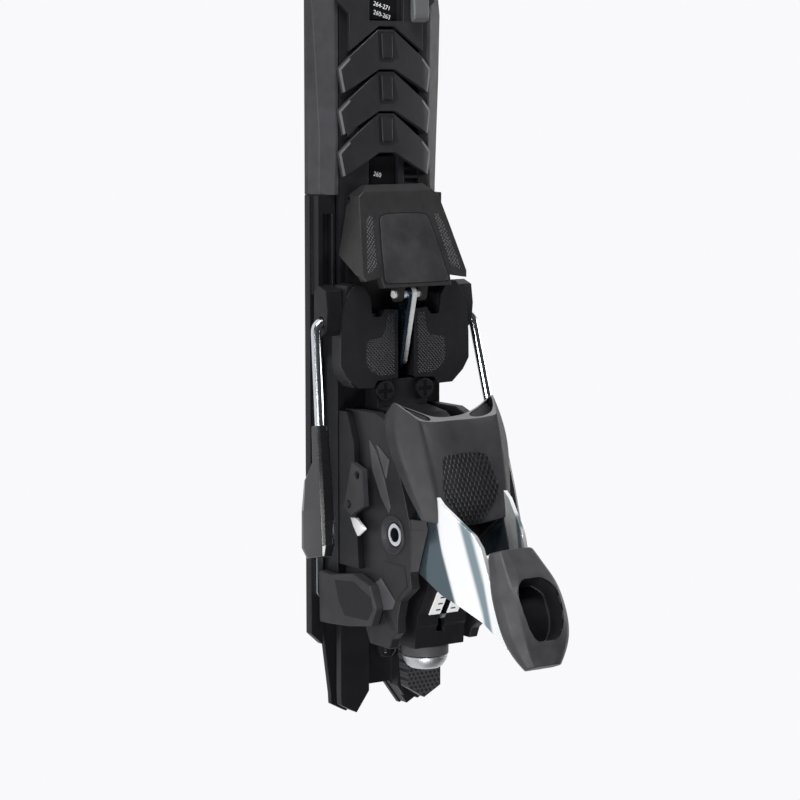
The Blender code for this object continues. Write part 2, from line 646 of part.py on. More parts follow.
def release_screw():
    """Release screw with its large silver head, slotted for a screwdriver."""
    face = HOUSING_REAR - GAP
    end = -164.6
    profile = [(end, 0.0), (end, 7.2), (end + 3.4, 10.2), (-157.2, SCREW_HEAD_R),
               (-154.4, SCREW_HEAD_R), (face, 9.4), (face, 3.5), (-133.0, 3.5), (-131.8, 2.4),
               (-131.8, 0.0)]
    screw = turned("release_screw", "zinc_steel", profile, (0.0, 0.0, SPRING_Z), "X", 28,
                   origin=(end, 0.0, SPRING_Z))
    slot = box_outline(-6.0, 6.0, SPRING_Z - 0.9, SPRING_Z + 0.9)
    boolean(screw, cutter("driver_slot", slot, "X", end - 2.0, end + 2.2))


def scale_window():
    """White scale on the slope behind the lever, slotted for the pointer."""
    slope = (68.4 - 60.4) / (137.0 - 123.7)
    front, rear = -124.6, -136.6
    lift = GAP
    low_front = 68.4 - (-123.7 - front) * slope + lift
    low_rear = 68.4 - (-123.7 - rear) * slope + lift
    outline = [(front, low_front), (front, low_front + 1.0), (rear, low_rear + 1.0),
               (rear, low_rear)]
    window = prism("scale_window", "white_plastic", outline, "Y", -8.2, 8.2)
    slot = box_outline(-145.0, -128.0, -2.0, 2.0)
    boolean(window, cutter("window_slot", slot, "Z", 50.0, 80.0))


def pivot_axle():
    """Hollow axle of the cup and the lever."""
    half = CHEEK_OUT - 0.9
    profile = [(-half, AXLE_BORE), (-half, AXLE_R), (half, AXLE_R), (half, AXLE_BORE)]
    turned("pivot_axle", "polished_steel", profile, (AXLE_X, 0.0, AXLE_Z), "Y", 24,
           origin=(AXLE_X, 0.0, AXLE_Z))


# ---- heel cup and lever ---------------------------------------------------
def cup_stations():
    """Half sections of the cup, mouth first: lower edge, side, crease and middle."""
    return [[(-42.3, 27.6, 54.0), (-35.4, 28.0, 61.5), (-44.0, 21.7, 73.1), (-45.2, 0.0, 67.3)],
            [(-50.0, 30.6, 58.5), (-49.0, 31.0, 66.0), (-51.5, 21.4, 76.0), (-52.5, 0.0, 72.2)],
            [(-60.0, 31.2, 63.8), (-59.5, 31.0, 69.5), (-60.0, 21.0, 79.0), (-60.5, 0.0, 76.2)],
            [(-74.0, 29.0, 71.6), (-74.0, 27.6, 75.2), (-76.0, 19.9, 83.6), (-76.0, 0.0, 82.6)],
            [(-88.0, 25.4, 79.6), (-88.3, 24.0, 81.4), (-89.5, 19.2, 85.8), (-91.5, 0.0, 85.6)]]


def cup_arch(station, wall):
    """Outer and inner points of one arch of the cup, from the left edge to the right."""
    flip = Vector((1, -1, 1))
    lower, side, crease, middle = [Vector(p) for p in station]
    outer = [lower, side, crease, middle]
    inner = [lower + Vector((-0.4, -wall, 0.4)), side + Vector((-0.8, -wall, -0.6)),
             crease + Vector((-0.6, -wall * 0.55, -wall - 0.4)), middle + Vector((-0.4, 0, -wall))]
    for inside, outside in zip(inner[:2], outer[:2]):
        if outside.y > CHEEK_OUT + 1.5:
            inside.y = max(inside.y, CHEEK_OUT + RUN)
    return (outer + [p * flip for p in reversed(outer[:-1])],
            inner + [p * flip for p in reversed(inner[:-1])])


def arched(name, finish, arches, origin=(0, 0, 0)):
    """Skin a row of arches into one shell with a thick wall."""
    bm = bmesh.new()
    rows = [[[bm.verts.new(p) for p in line] for line in arch] for arch in arches]
    for (out_a, in_a), (out_b, in_b) in zip(rows, rows[1:]):
        for i in range(len(out_a) - 1):
            bm.faces.new((out_a[i], out_a[i + 1], out_b[i + 1], out_b[i]))
            bm.faces.new((in_a[i], in_b[i], in_b[i + 1], in_a[i + 1]))
        for k in (0, -1):
            bm.faces.new((out_a[k], out_b[k], in_b[k], in_a[k]))
    for outer, inner in (rows[0], rows[-1]):
        for i in range(len(outer) - 1):
            bm.faces.new((outer[i], outer[i + 1], inner[i + 1], inner[i]))
    bmesh.ops.triangulate(bm, faces=bm.faces)
    return to_object(bm, name, finish, origin)


def heel_cup():
    """Cup that holds the boot's heel, with two arms down to the axle."""
    axle = (AXLE_X, 0.0, AXLE_Z)
    arches = [cup_arch(station, CUP_WALL) for station in cup_stations()]
    cup = arched("heel_cup", "black_plastic", arches, origin=axle)
    for side, name in ((1, "left"), (-1, "right")):
        arm = arc((AXLE_X, AXLE_Z), 9.5, 150, 330, 10) + [(-77.5, 70.0), (-75.3, 80.7), (-90.4, 83.9)]
        low, high = sorted((side * ARM_IN, side * ARM_OUT))
        boolean(cup, cutter("cup_arm_" + name, arm, "Y", low, high), "UNION")
        low, high = sorted((side * (ARM_OUT + 0.1), side * (FORK_OUT + RUN)))
        slot = cutter("cup_fork_slot_" + name, box_outline(-100.0, -71.0, 60.0, 95.0), "Y", low, high)
        boolean(cup, slot)
    bore(cup, "cup_axle_bore", "Y", (AXLE_X, AXLE_Z), AXLE_R + GAP, -30.0, 30.0)
    pad_half = [(-61.5, 9.8), (-75.0, 14.4), (-90.0, 5.0)]
    rings = []
    for lift in (GAP + 0.1, GAP + 1.2):
        ring = []
        for x, y in both_sides([(x, y) for x, y in pad_half]):
            z = cup_top(x, abs(y)) + lift
            ring.append((x, y, z))
        rings.append(ring)
    lofted("cup_pad", "rubber", rings, origin=axle)


def cup_top(x, y):
    """Height of the cup's outer top at a place, highest of the skin near it."""
    stations = cup_stations()
    for first, second in zip(stations, stations[1:]):
        if second[3][0] <= x <= first[3][0]:
            part = (x - first[3][0]) / (second[3][0] - first[3][0])
            middle = first[3][2] + part * (second[3][2] - first[3][2])
            crease = first[2][2] + part * (second[2][2] - first[2][2])
            half = first[2][1] + part * (second[2][1] - first[2][1])
            return middle + (crease - middle) * y / half
    return stations[-1][3][2]


def fork_outline():
    """Side view of the steel fork, from its eye on the axle up to the handle."""
    return arc((AXLE_X, AXLE_Z), 9.0, 200, 350, 8) + [
        (-77.0, 83.3), (-93.0, 105.0), (-98.0, 108.6), (-102.0, 110.0), (-140.6, 128.2),
        (-126.0, 98.0), (-113.7, 68.5)]


def lever_fork():
    """Steel fork of the lever: two plates that close in towards the handle, and a web."""
    axle = (AXLE_X, 0.0, AXLE_Z)
    fork = prism("lever_fork", "polished_steel", fork_outline(), "Y", -FORK_OUT - 1.0,
                 FORK_OUT + 1.0, origin=axle)
    bend_low, bend_high, neck = 88.0, 110.0, 12.6
    sheets = bmesh.new()
    for side in (1, -1):
        line = [(FORK_OUT, 30.0), (FORK_OUT, bend_low), (neck, bend_high), (neck, 150.0)]
        outline = [(side * y, z) for y, z in line]
        outline += [(side * (y - FORK_T), z) for y, z in reversed(line)]
        sheet = prism_mesh(outline, "X", -160.0, -60.0)
        scrap = bpy.data.meshes.new("Scrap")
        bmesh.ops.recalc_face_normals(sheet, faces=sheet.faces)
        sheet.to_mesh(scrap)
        sheet.free()
        sheets.from_mesh(scrap)
        bpy.data.meshes.remove(scrap)
    boolean(fork, to_object(sheets, "fork_sheets", None), "INTERSECT")
    web = [(-102.4, 109.9), (-139.8, 127.5), (-139.0, 125.6), (-101.6, 108.0)]
    boolean(fork, cutter("fork_web", web, "Y", -neck + 1.0, neck - 1.0), "UNION")
    bore(fork, "fork_axle_bore", "Y", (AXLE_X, AXLE_Z), AXLE_R + GAP, -30.0, 30.0)


def lever_cap():
    """Moulded handle on the fork, a rounded spoon with a pocket for a pole tip."""
    slope = math.atan2(128.2 - 110.0, 140.6 - 102.0)
    along = Vector((-math.cos(slope), 0.0, math.sin(slope)))
    up = Vector((math.sin(slope), 0.0, math.cos(slope)))
    start = Vector((-102.0, 0.0, 110.0)) + up * GAP - along * 0.6
    stations = [(0.0, 12.0, 8.0, 0.0), (9.5, 15.1, 11.5, 0.0), (21.0, 18.0, 15.5, 0.0),
                (31.0, 18.2, 16.0, 0.0), (41.0, 16.4, 14.5, 0.5), (47.5, 12.9, 12.5, 1.8),
                (51.5, 7.5, 10.5, 3.6)]
    rings = []
    for distance, half, height, base in stations:
        rise = height - base
        section = [(half * 0.76, base), (half, base + rise * 0.45),
                   (half * 0.84, base + rise * 0.83), (half * 0.47, height)]
        section += [(-y, z) for y, z in reversed(section)]
        rings.append([start + along * distance + Vector((0, y, 0)) + up * z for y, z in section])
    cap = lofted("lever_cap", "black_plastic", rings, origin=(AXLE_X, 0.0, AXLE_Z))
    pocket_rings = []
    for z, scale in ((6.3, 0.8), (20.0, 1.0)):
        ring = []
        for distance, half in ((14.6, 4.4), (20.3, 9.3), (36.3, 7.9), (40.2, 4.7)):
            ring.append((distance, half * scale))
        ring += [(d, -y) for d, y in reversed(ring)]
        pocket_rings.append([start + along * d + Vector((0, y, 0)) + up * z for d, y in ring])
    pocket = lofted("cap_pocket", None, pocket_rings)
    boolean(cap, pocket)


# ---- brake ----------------------------------------------------------------
def wire_path(side):
    """Centre line of one brake wire: out of its bearing, round a bend and to the tail."""
    rise = math.radians(WIRE_RISE)
    splay = math.radians(WIRE_SPLAY)
    run = Vector((-math.cos(rise) * math.cos(splay), side * math.sin(splay),
                  math.sin(rise) * math.cos(splay)))
    bend = 5.0
    corner = Vector((SHAFT_X, side * WIRE_Y, SHAFT_Z))
    start = Vector((SHAFT_X, side * 20.3, SHAFT_Z))
    inward = Vector((0.0, -side, 0.0))
    points = [start, corner + inward * (bend + 4.0)]
    for i in range(7):
        t = i / 6.0
        points.append((1 - t) ** 2 * (corner + inward * bend) + 2 * t * (1 - t) * corner
                      + t ** 2 * (corner + run * bend))
    points.append(corner + run * 28.0)
    points.append(corner + run * WIRE_LENGTH)
    return points, corner, run


def brake():
    """Wires, claws, shaft and bearings of the brake."""
    pivot = (SHAFT_X, 0.0, SHAFT_Z)
    profile = [(-20.0, 0.0), (-20.0, 3.2), (20.0, 3.2), (20.0, 0.0)]
    turned("brake_shaft", "zinc_steel", profile, pivot, "Y", 16, origin=pivot)
    for side, name in ((1, "left"), (-1, "right")):
        path, corner, run = wire_path(side)
        swept("brake_wire_" + name, "polished_steel", path, WIRE_R, sides=12, origin=pivot)
        block = [(-8.0, 15.8), (12.0, 15.8), (15.0, 20.0), (13.0, 26.0), (4.0, 27.4),
                 (-6.0, 26.2), (-8.5, 22.0)]
        low, high = sorted((side * BEARING_IN, side * BEARING_OUT))
        bearing = prism("brake_bearing_" + name, "dark_plastic", block, "Y", low, high)
        bore(bearing, "bearing_bore_" + name, "Y", (SHAFT_X, SHAFT_Z), WIRE_R + GAP,
             -50.0, 50.0, 14)
        brake_claw(name, side, corner, run, pivot)


def brake_claw(name, side, corner, run, pivot):
    """Moulded claw: a round neck on the wire, then a flat blade hanging below it."""
    down = Vector((run.z, 0.0, -run.x)).normalized() * -1.0
    out = run.cross(down).normalized() * side
    if out.y * side < 0:
        out = -out
    start = corner + run * (WIRE_LENGTH - 4.0)
    # distance along, reach above the wire, reach below it, half thickness
    stations = [(0.0, 3.2, 3.2, 3.2), (16.5, 3.6, 3.6, 3.4), (24.0, 4.2, 12.5, 3.6),
                (38.0, 4.4, 16.0, 3.6), (55.0, 4.0, 17.5, 3.4), (60.0, 1.5, 14.0, 2.6)]
    rings = []
    for distance, above, below, thick in stations:
        middle = start + run * distance
        section = [(-above, 0.55), (-above * 0.7, 1.0), (below * 0.72, 1.0), (below, 0.55)]
        ring = [middle + down * z + out * (thick * f) for z, f in section]
        ring += [middle + down * z - out * (thick * f) for z, f in reversed(section)]
        rings.append(ring)
    claw = lofted("brake_claw_" + name, "gloss_black", rings, origin=pivot)
    socket_path = [start - run * 3.0, start + run * (4.0 + GAP)]
    tool = swept("claw_socket_" + name, None, socket_path, WIRE_R + GAP, sides=12)
    boolean(claw, tool)


def pedal_side_view():
    """Side view of the pedal, with its side skirts."""
    return [(57.5, 16.4), (61.0, 18.5), (61.2, 21.5), (58.0, 24.6), (14.2, 41.2),
            (14.0, 36.8), (19.5, 34.6), (28.5, 16.4)]


def pedal_plan():
    """Plan of the pedal: narrow nose, wings at the rear and a straight middle."""
    return both_sides([(62.0, 15.0), (56.0, 22.6), (40.0, 25.8), (20.5, 29.4), (17.5, 28.6),
                       (19.0, 19.4), (12.0, 18.8)])


def pedal():
    """Brake pedal: a hollow moulding with side skirts, its panel and its pins."""
    hinge = (PEDAL_PIN_X, 0.0, PEDAL_PIN_Z)
    body = prism("brake_pedal", "black_plastic", pedal_side_view(), "Y", -35.0, 35.0, origin=hinge)
    plan = cutter("pedal_plan", pedal_plan(), "Z", 5.0, 60.0)
    boolean(body, plan, "INTERSECT")
    hollow_half = [(58.6, 17.2), (54.0, 20.4), (40.0, 22.8), (24.0, 25.6), (24.0, -25.6),
                   (40.0, -22.8), (54.0, -20.4), (58.6, -17.2)]
    slope = math.tan(math.radians(PEDAL_SLOPE))
    bm = bmesh.new()
    low = [bm.verts.new((x, y, 8.0)) for x, y in hollow_half]
    high = [bm.verts.new((x, y, 24.6 + (58.0 - x) * slope - 5.2)) for x, y in hollow_half]
    bm.faces.new(low)
    bm.faces.new(high)
    for i in range(len(low)):
        j = (i + 1) % len(low)
        bm.faces.new((low[i], low[j], high[j], high[i]))
    hollow = to_object(bm, "pedal_hollow", None)
    boolean(body, hollow)
    bore(body, "pedal_pin_bore", "Y", (PEDAL_PIN_X, PEDAL_PIN_Z), 1.8 + GAP, -40.0, 40.0, 12)
    for side in (1, -1):
        lug = [(24.0, 37.0), (24.0, 32.5)] + \
            arc((LINK_PIN_X, LINK_PIN_Z), 3.6, -80, -280, 8) + [(16.0, 38.0)]
        low_y, high_y = sorted((side * 5.0, side * 8.0))
        boolean(body, cutter("pedal_lug_%d" % side, lug, "Y", low_y, high_y), "UNION")
    bore(body, "link_pin_bore", "Y", (LINK_PIN_X, LINK_PIN_Z), 1.9 + GAP, -12.0, 12.0, 12)
    profile = [(-20.5, 0.0), (-20.5, 1.8), (20.5, 1.8), (20.5, 0.0)]
    turned("pedal_pin", "zinc_steel", profile, (PEDAL_PIN_X, 0.0, PEDAL_PIN_Z), "Y", 12)
    profile = [(-9.2, 0.0), (-9.2, 1.9), (9.2, 1.9), (9.2, 0.0)]
    turned("link_pin", "polished_steel", profile, (LINK_PIN_X, 0.0, LINK_PIN_Z), "Y", 12,
           origin=(LINK_PIN_X, 0.0, LINK_PIN_Z))
    panel_half = [(47.2, 12.6), (44.5, 14.0), (18.0, 18.0), (16.6, 17.0)]
    rings = []
    for lift in (0.9, -0.0):
        rings.append([(x, y, 24.6 + (58.0 - x) * (41.2 - 24.6) / (58.0 - 14.2) + GAP + lift)
                      for x, y in both_sides(panel_half)])
    lofted("pedal_panel", "rubber", rings, origin=hinge)


def link():
    """Rod and strip that tie the pedal to the brake, with the small spring at their end."""
    dip = math.radians(LINK_DIP)
    along = Vector((-math.cos(dip), 0.0, -math.sin(dip)))
    up = Vector((-math.sin(dip), 0.0, math.cos(dip)))
    pin = Vector((LINK_PIN_X, 0.0, LINK_PIN_Z))
    end = pin + along * LINK_LENGTH


    def bar_outline(eye, tip):
        """Side view of a bar with a round eye on the pin and a round tip."""
        ring = []
        for centre, radius, first in ((pin, eye, -90.0), (end, tip, 90.0)):
            for i in range(9):
                angle = math.radians(first + 180.0 * i / 8)
                spot = centre - along * (radius * math.cos(angle)) + up * (radius * math.sin(angle))
                ring.append((spot.x, spot.z))
        return ring

    for name, finish, eye, tip, low, high in (
            ("link_strip", "zinc_steel", 3.6, 3.4, 0.6, 2.4),
            ("link_rod", "polished_steel", 3.4, 2.2, -2.4, 0.2)):
        bar = prism(name, finish, bar_outline(eye, tip), "Y", low, high, origin=pin)
        bore(bar, name + "_bore", "Y", (pin.x, pin.z), 1.9 + GAP, -5.0, 5.0, 12)


def main():
    clear_scene()
    base_plate()
    guide_rail()
    plate_screws()
    rack_strip()
    front_fairings()
    side_strips()
    track_bars()
    chevron_covers()
    front_cover()
    front_lock_hook()
    heel_carriage()
    front_shells()
    heel_housing()
    cheeks()
    side_blocks()
    rear_guards()
    side_lever()
    adjust_worm()
    lock_lever()
    release_spring()
    spring_nut()
    release_screw()
    scale_window()
    pivot_axle()
    heel_cup()
    lever_fork()
    lever_cap()
    brake()
    pedal()
    link()


main()
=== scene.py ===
# %% [markdown]
# # Heel unit of a ski binding on its track plate
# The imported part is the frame. Its bodies, joints and sizes stay as they are.
# Each visible piece gets its own finish, and most get edges, grain and detail.

import json
import math

import bmesh
import bpy
from mathutils import Matrix, Vector
from mathutils.bvhtree import BVHTree


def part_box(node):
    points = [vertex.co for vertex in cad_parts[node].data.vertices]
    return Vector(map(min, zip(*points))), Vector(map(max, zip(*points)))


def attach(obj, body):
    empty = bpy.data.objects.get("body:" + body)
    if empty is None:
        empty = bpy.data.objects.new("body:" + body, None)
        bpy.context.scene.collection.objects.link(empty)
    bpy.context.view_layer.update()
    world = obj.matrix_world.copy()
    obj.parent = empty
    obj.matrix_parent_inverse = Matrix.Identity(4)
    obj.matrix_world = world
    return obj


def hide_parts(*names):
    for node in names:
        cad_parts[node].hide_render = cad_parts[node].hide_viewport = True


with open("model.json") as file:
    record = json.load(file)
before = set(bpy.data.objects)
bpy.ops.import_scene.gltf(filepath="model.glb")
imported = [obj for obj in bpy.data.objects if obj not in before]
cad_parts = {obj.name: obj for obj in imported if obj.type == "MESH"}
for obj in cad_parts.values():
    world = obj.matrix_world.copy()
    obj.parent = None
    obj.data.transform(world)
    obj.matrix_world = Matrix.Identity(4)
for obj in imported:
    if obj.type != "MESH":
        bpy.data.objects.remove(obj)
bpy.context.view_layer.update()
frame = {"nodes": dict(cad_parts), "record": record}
MM = 0.001
WELD = 0.003 * MM          # points nearer than this are one point
FLAT = math.radians(0.6)   # faces that meet at less than this are one face
SIDES = ((1, "left"), (-1, "right"))
BODY_OF = {node: body for body, nodes in frame["record"]["behaviour"]["bodies"].items()
           for node in nodes}

# %% [markdown]
# ## Camera
# The unit is seen from over the tail, on the left of the ski, with the toe at the top. A
# tracking constraint could aim the camera, but the roll matters as much as the aim here, so
# its three axes are worked out from two angles. The lens is long and far
# back, so that near and far pieces keep their sizes.

# %% Camera axes and lens
TILT = math.radians(34.5)
TURN = math.radians(6.9)
BACK = Vector((math.sin(TURN), math.cos(TURN) * math.sin(TILT), math.cos(TURN) * math.cos(TILT)))
RIGHT = Vector((0.0, -math.cos(TILT), math.sin(TILT)))
UP = BACK.cross(RIGHT)
AIM = Vector((-40.3, 0.0, 26.0)) * MM
DISTANCE = 1.250

lens = bpy.data.cameras.new("main_camera")
lens.lens = 119.25
lens.sensor_width = 36.0
lens.clip_start = 0.05
lens.clip_end = 50.0
camera = bpy.data.objects.new("main_camera", lens)
bpy.context.collection.objects.link(camera)
turned_to = Matrix((RIGHT, UP, BACK)).transposed().to_4x4()
camera.matrix_world = Matrix.Translation(AIM + BACK * DISTANCE) @ turned_to
bpy.context.scene.camera = camera
print("camera at", [round(v / MM) for v in camera.matrix_world.translation])

# %% [markdown]
# ## Light
# Black plastic shows its form by what it mirrors. Small lamps would leave hard spots on it,
# so every light is a soft panel: a wide key from the left, one from the toe along the slopes,
# a weak one for the right edges, and one over the tail for the steel. The room itself gives
# very little, which keeps the blacks dark.

# %% Four soft panels in a dim room
def area_light(name, place, aim, width, height, power):
    """A soft light at a place, turned to an aim, both in metres."""
    data = bpy.data.lights.new(name, "AREA")
    data.shape = "RECTANGLE"
    data.size = width
    data.size_y = height
    data.energy = power
    light = bpy.data.objects.new(name, data)
    bpy.context.collection.objects.link(light)
    light.location = place
    light.rotation_mode = "QUATERNION"
    light.rotation_quaternion = (Vector(aim) - Vector(place)).to_track_quat("-Z", "Y")
    return light


area_light("key_left", (0.05, 1.20, 0.62), (-0.03, 0.0, 0.03), 0.4, 0.7, 14.0)
area_light("toe_soft", (1.10, 0.25, 0.50), (0.0, 0.0, 0.02), 0.7, 0.3, 21.0)
area_light("right_edge", (0.10, -1.1, 0.35), (-0.05, 0.0, 0.05), 0.25, 0.8, 6.0)
area_light("tail_soft", (-0.75, 0.60, 0.95), (-0.10, 0.0, 0.08), 0.35, 0.35, 12.0)

world = bpy.data.worlds.new("room")
bpy.context.scene.world = world
world.use_nodes = True
background = world.node_tree.nodes["Background"]
background.inputs["Color"].default_value = (0.80, 0.82, 0.86, 1.0)
background.inputs["Strength"].default_value = 0.07
bpy.context.scene.view_settings.view_transform = "Standard"

# %% [markdown]
# ## Floor
# The unit lies on a white sheet that runs out of view. A sheet that is white to everything
# would light the undersides and fill every gap, so a light path node makes it white only to
# the camera and in mirrored light, and a plain grey to all the rest.

# %% Floor
FLOOR_HALF = 6.0
FLOOR_DROP = 0.0004


def floor_material():
    """White to the camera and in reflections, plain pale to everything else."""
    made = bpy.data.materials.new("floor_white")
    made.use_nodes = True
    nodes, links = made.node_tree.nodes, made.node_tree.links
    nodes.clear()
    out = nodes.new("ShaderNodeOutputMaterial")
    path = nodes.new("ShaderNodeLightPath")
    seen = nodes.new("ShaderNodeMath")
    seen.operation = "MAXIMUM"
    links.new(path.outputs["Is Camera Ray"], seen.inputs[0])
    links.new(path.outputs["Is Glossy Ray"], seen.inputs[1])
    plain = nodes.new("ShaderNodeBsdfDiffuse")
    plain.inputs["Color"].default_value = (0.30, 0.30, 0.31, 1.0)
    bright = nodes.new("ShaderNodeEmission")
    bright.inputs["Color"].default_value = (0.947, 0.947, 0.965, 1.0)
    mix = nodes.new("ShaderNodeMixShader")
    links.new(seen.outputs[0], mix.inputs[0])
    links.new(plain.outputs[0], mix.inputs[1])
    links.new(bright.outputs[0], mix.inputs[2])
    links.new(mix.outputs[0], out.inputs["Surface"])
    return made


bm = bmesh.new()
bmesh.ops.create_grid(bm, x_segments=1, y_segments=1, size=FLOOR_HALF)
floor_mesh = bpy.data.meshes.new("floor")
bm.to_mesh(floor_mesh)
bm.free()
floor = bpy.data.objects.new("floor", floor_mesh)
bpy.context.collection.objects.link(floor)
floor.location = (0.0, 0.0, -FLOOR_DROP)
floor_mesh.materials.append(floor_material())
print("floor", 2 * FLOOR_HALF, "m wide")

# %% [markdown]
# ## Finishes
# The pieces are moulded plastic with a fine grain, plated or polished steel, and a few printed
# strips. Image textures could carry the grain, but they would need unwrapped surfaces. Noise
# and waves in object coordinates, in metres, need none and keep their size on every piece.

# %% Nodes that finishes share
def math_node(nodes, links, operation, first, second=None):
    """One math node fed by sockets or numbers."""
    node = nodes.new("ShaderNodeMath")
    node.operation = operation
    for i, value in enumerate((first, second)):
        if value is None:
            continue
        if isinstance(value, (int, float)):
            node.inputs[i].default_value = value
        else:
            links.new(value, node.inputs[i])
    return node.outputs[0]


def noise(nodes, links, coordinate, scale, detail=3.0, rough=0.5):
    """Value of a noise texture at a scale per metre."""
    node = nodes.new("ShaderNodeTexNoise")
    for name, number in (("Scale", scale), ("Detail", detail), ("Roughness", rough)):
        node.inputs[name].default_value = number
    links.new(coordinate, node.inputs["Vector"])
    return node.outputs["Fac"]


def spread(nodes, links, value, low, high, to_low, to_high):
    """Map a value from one range to another."""
    node = nodes.new("ShaderNodeMapRange")
    links.new(value, node.inputs["Value"])
    for name, number in (("From Min", low), ("From Max", high), ("To Min", to_low),
                         ("To Max", to_high)):
        node.inputs[name].default_value = number
    return node.outputs["Result"]


def wave_along(nodes, links, axes, direction, pitch):
    """Cosine wave of a pitch in metres along a direction in the two axes given."""
    first = math_node(nodes, links, "MULTIPLY", axes[0], direction[0] * 2 * math.pi / pitch)
    second = math_node(nodes, links, "MULTIPLY", axes[1], direction[1] * 2 * math.pi / pitch)
    return math_node(nodes, links, "COSINE", math_node(nodes, links, "ADD", first, second))


def pattern_height(nodes, links, coordinate, kind, pitch):
    """Height of a knurl or of honeycomb cells, from 0 to 1."""
    split = nodes.new("ShaderNodeSeparateXYZ")
    links.new(coordinate, split.inputs[0])
    axes = (split.outputs[0], split.outputs[1])
    if kind == "diamond":
        one = wave_along(nodes, links, axes, (0.70, 0.71), pitch)
        two = wave_along(nodes, links, axes, (0.70, -0.71), pitch)
        higher = math_node(nodes, links, "MAXIMUM", one, two)
        return spread(nodes, links, higher, -0.6, 1.0, 0.0, 1.0)
    total = wave_along(nodes, links, axes, (1.0, 0.0), pitch)
    for turn in (60.0, 120.0):
        way = (math.cos(math.radians(turn)), math.sin(math.radians(turn)))
        total = math_node(nodes, links, "ADD", total, wave_along(nodes, links, axes, way, pitch))
    return spread(nodes, links, total, -1.5, 0.6, 1.0, 0.0)


# %% One finish
def finish(name, colour, rough, metal=0.0, grain=0.10, grain_scale=2600.0, mottle=0.12,
           pattern=None, pitch=0.0011, depth=0.5, coat=0.0):
    """A moulded or metal finish with grain, uneven gloss, a little colour change, and painted shade
    and highlight on a pattern's relief.
    """
    made = bpy.data.materials.new(name)
    made.use_nodes = True
    nodes, links = made.node_tree.nodes, made.node_tree.links
    shader = nodes["Principled BSDF"]
    place = nodes.new("ShaderNodeTexCoord").outputs["Object"]
    cloud = noise(nodes, links, place, 70.0, 5.0, 0.6)
    ramp = nodes.new("ShaderNodeValToRGB")
    for i, where, change in ((0, 0.30, 1 - mottle), (1, 0.72, 1 + mottle)):
        ramp.color_ramp.elements[i].position = where
        ramp.color_ramp.elements[i].color = tuple(min(1, c * change) for c in colour) + (1.0,)
    links.new(cloud, ramp.inputs[0])
    colour_out = ramp.outputs["Color"]
    smudge = noise(nodes, links, place, 260.0, 4.0, 0.55)
    links.new(spread(nodes, links, smudge, 0.25, 0.75, rough * 0.88, min(1.0, rough * 1.12)),
              shader.inputs["Roughness"])
    shader.inputs["Metallic"].default_value = metal
    shader.inputs["Coat Weight"].default_value = coat
    shader.inputs["Specular IOR Level"].default_value = 0.5 if metal or coat else 0.22
    fine = noise(nodes, links, place, grain_scale, 2.0)
    height = math_node(nodes, links, "MULTIPLY", fine, grain)
    if pattern:
        raised = pattern_height(nodes, links, place, pattern, pitch)
        relief = math_node(nodes, links, "MULTIPLY", raised, depth)
        height = math_node(nodes, links, "ADD", height, relief)
        # The pattern's hollows are painted darker and its raised tops lighter: painted shade and
        # painted highlight over the bump.
        relief_light_tint = nodes.new("ShaderNodeMix")
        relief_light_tint.data_type = "RGBA"
        relief_light_tint.blend_type = "MULTIPLY"
        relief_light_tint.inputs["Factor"].default_value = 1.0
        links.new(colour_out, relief_light_tint.inputs["A"])
        grey = nodes.new("ShaderNodeValToRGB")
        grey.color_ramp.elements[0].color = (0.45, 0.45, 0.45, 1.0)
        grey.color_ramp.elements[1].color = (1.5, 1.5, 1.5, 1.0)
        links.new(raised, grey.inputs[0])
        links.new(grey.outputs["Color"], relief_light_tint.inputs["B"])
        colour_out = relief_light_tint.outputs["Result"]
    links.new(colour_out, shader.inputs["Base Color"])
    bump = nodes.new("ShaderNodeBump")
    bump.inputs["Strength"].default_value = 0.6
    bump.inputs["Distance"].default_value = 0.0002
    links.new(height, bump.inputs["Height"])
    links.new(bump.outputs["Normal"], shader.inputs["Normal"])
    return made


# %% [markdown]
# ## The finishes of this unit
# No two mouldings of the unit have quite the same black: covers, shells, pedal, cup and
# handle come from different moulds, and each has its own tone and gloss. One black for all
# would melt them together. Some tones are painted light, though: the grey-black is painted
# light on the cheek facets, the pale grey is a painted highlight on the chevron edges, and the
# darkest black is painted shade in pockets, slots and grooves and on pieces deep between others.
# The grips carry honeycomb cells or a diamond knurl, with painted shade in their hollows.

# %% Blacks, greys, metals and inks
BLACK = finish("moulded_black", (0.0118, 0.0115, 0.0138), 0.46, grain=0.30, mottle=0.20)
SOFT_BLACK = finish("moulded_soft_black", (0.0080, 0.0078, 0.0096), 0.44, grain=0.20)
SHELL_BLACK = finish("shell_black", (0.0070, 0.0068, 0.0088), 0.42, grain=0.16, mottle=0.16)
PEDAL_BLACK = finish("pedal_black", (0.0170, 0.0165, 0.0172), 0.36, grain=0.10, mottle=0.24)
# Grey-black: painted light on the cheek facets that face the lamps, and the collar's tone.
GREY_BLACK_AND_PAINTED_LIGHT = finish("grey_black_and_painted_light", (0.048, 0.047, 0.052), 0.50, grain=0.34, mottle=0.18)
EDGE_BLACK = finish("edge_black", (0.022, 0.0215, 0.025), 0.48, grain=0.34, mottle=0.22)
# Pale grey: painted highlight along the folded edges of the chevron covers.
PAINTED_EDGE_HIGHLIGHT = finish("painted_edge_highlight", (0.085, 0.084, 0.089), 0.50, grain=0.30, mottle=0.20)
FLANK_GREY = finish("flank_grey", (0.025, 0.0242, 0.0275), 0.50, grain=0.45, mottle=0.28)
CUP_BLACK = finish("cup_black", (0.0200, 0.0196, 0.0215), 0.50, grain=0.40, mottle=0.25)
CAP_GREY = finish("handle_grey", (0.036, 0.0355, 0.038), 0.47, grain=0.42, mottle=0.30)
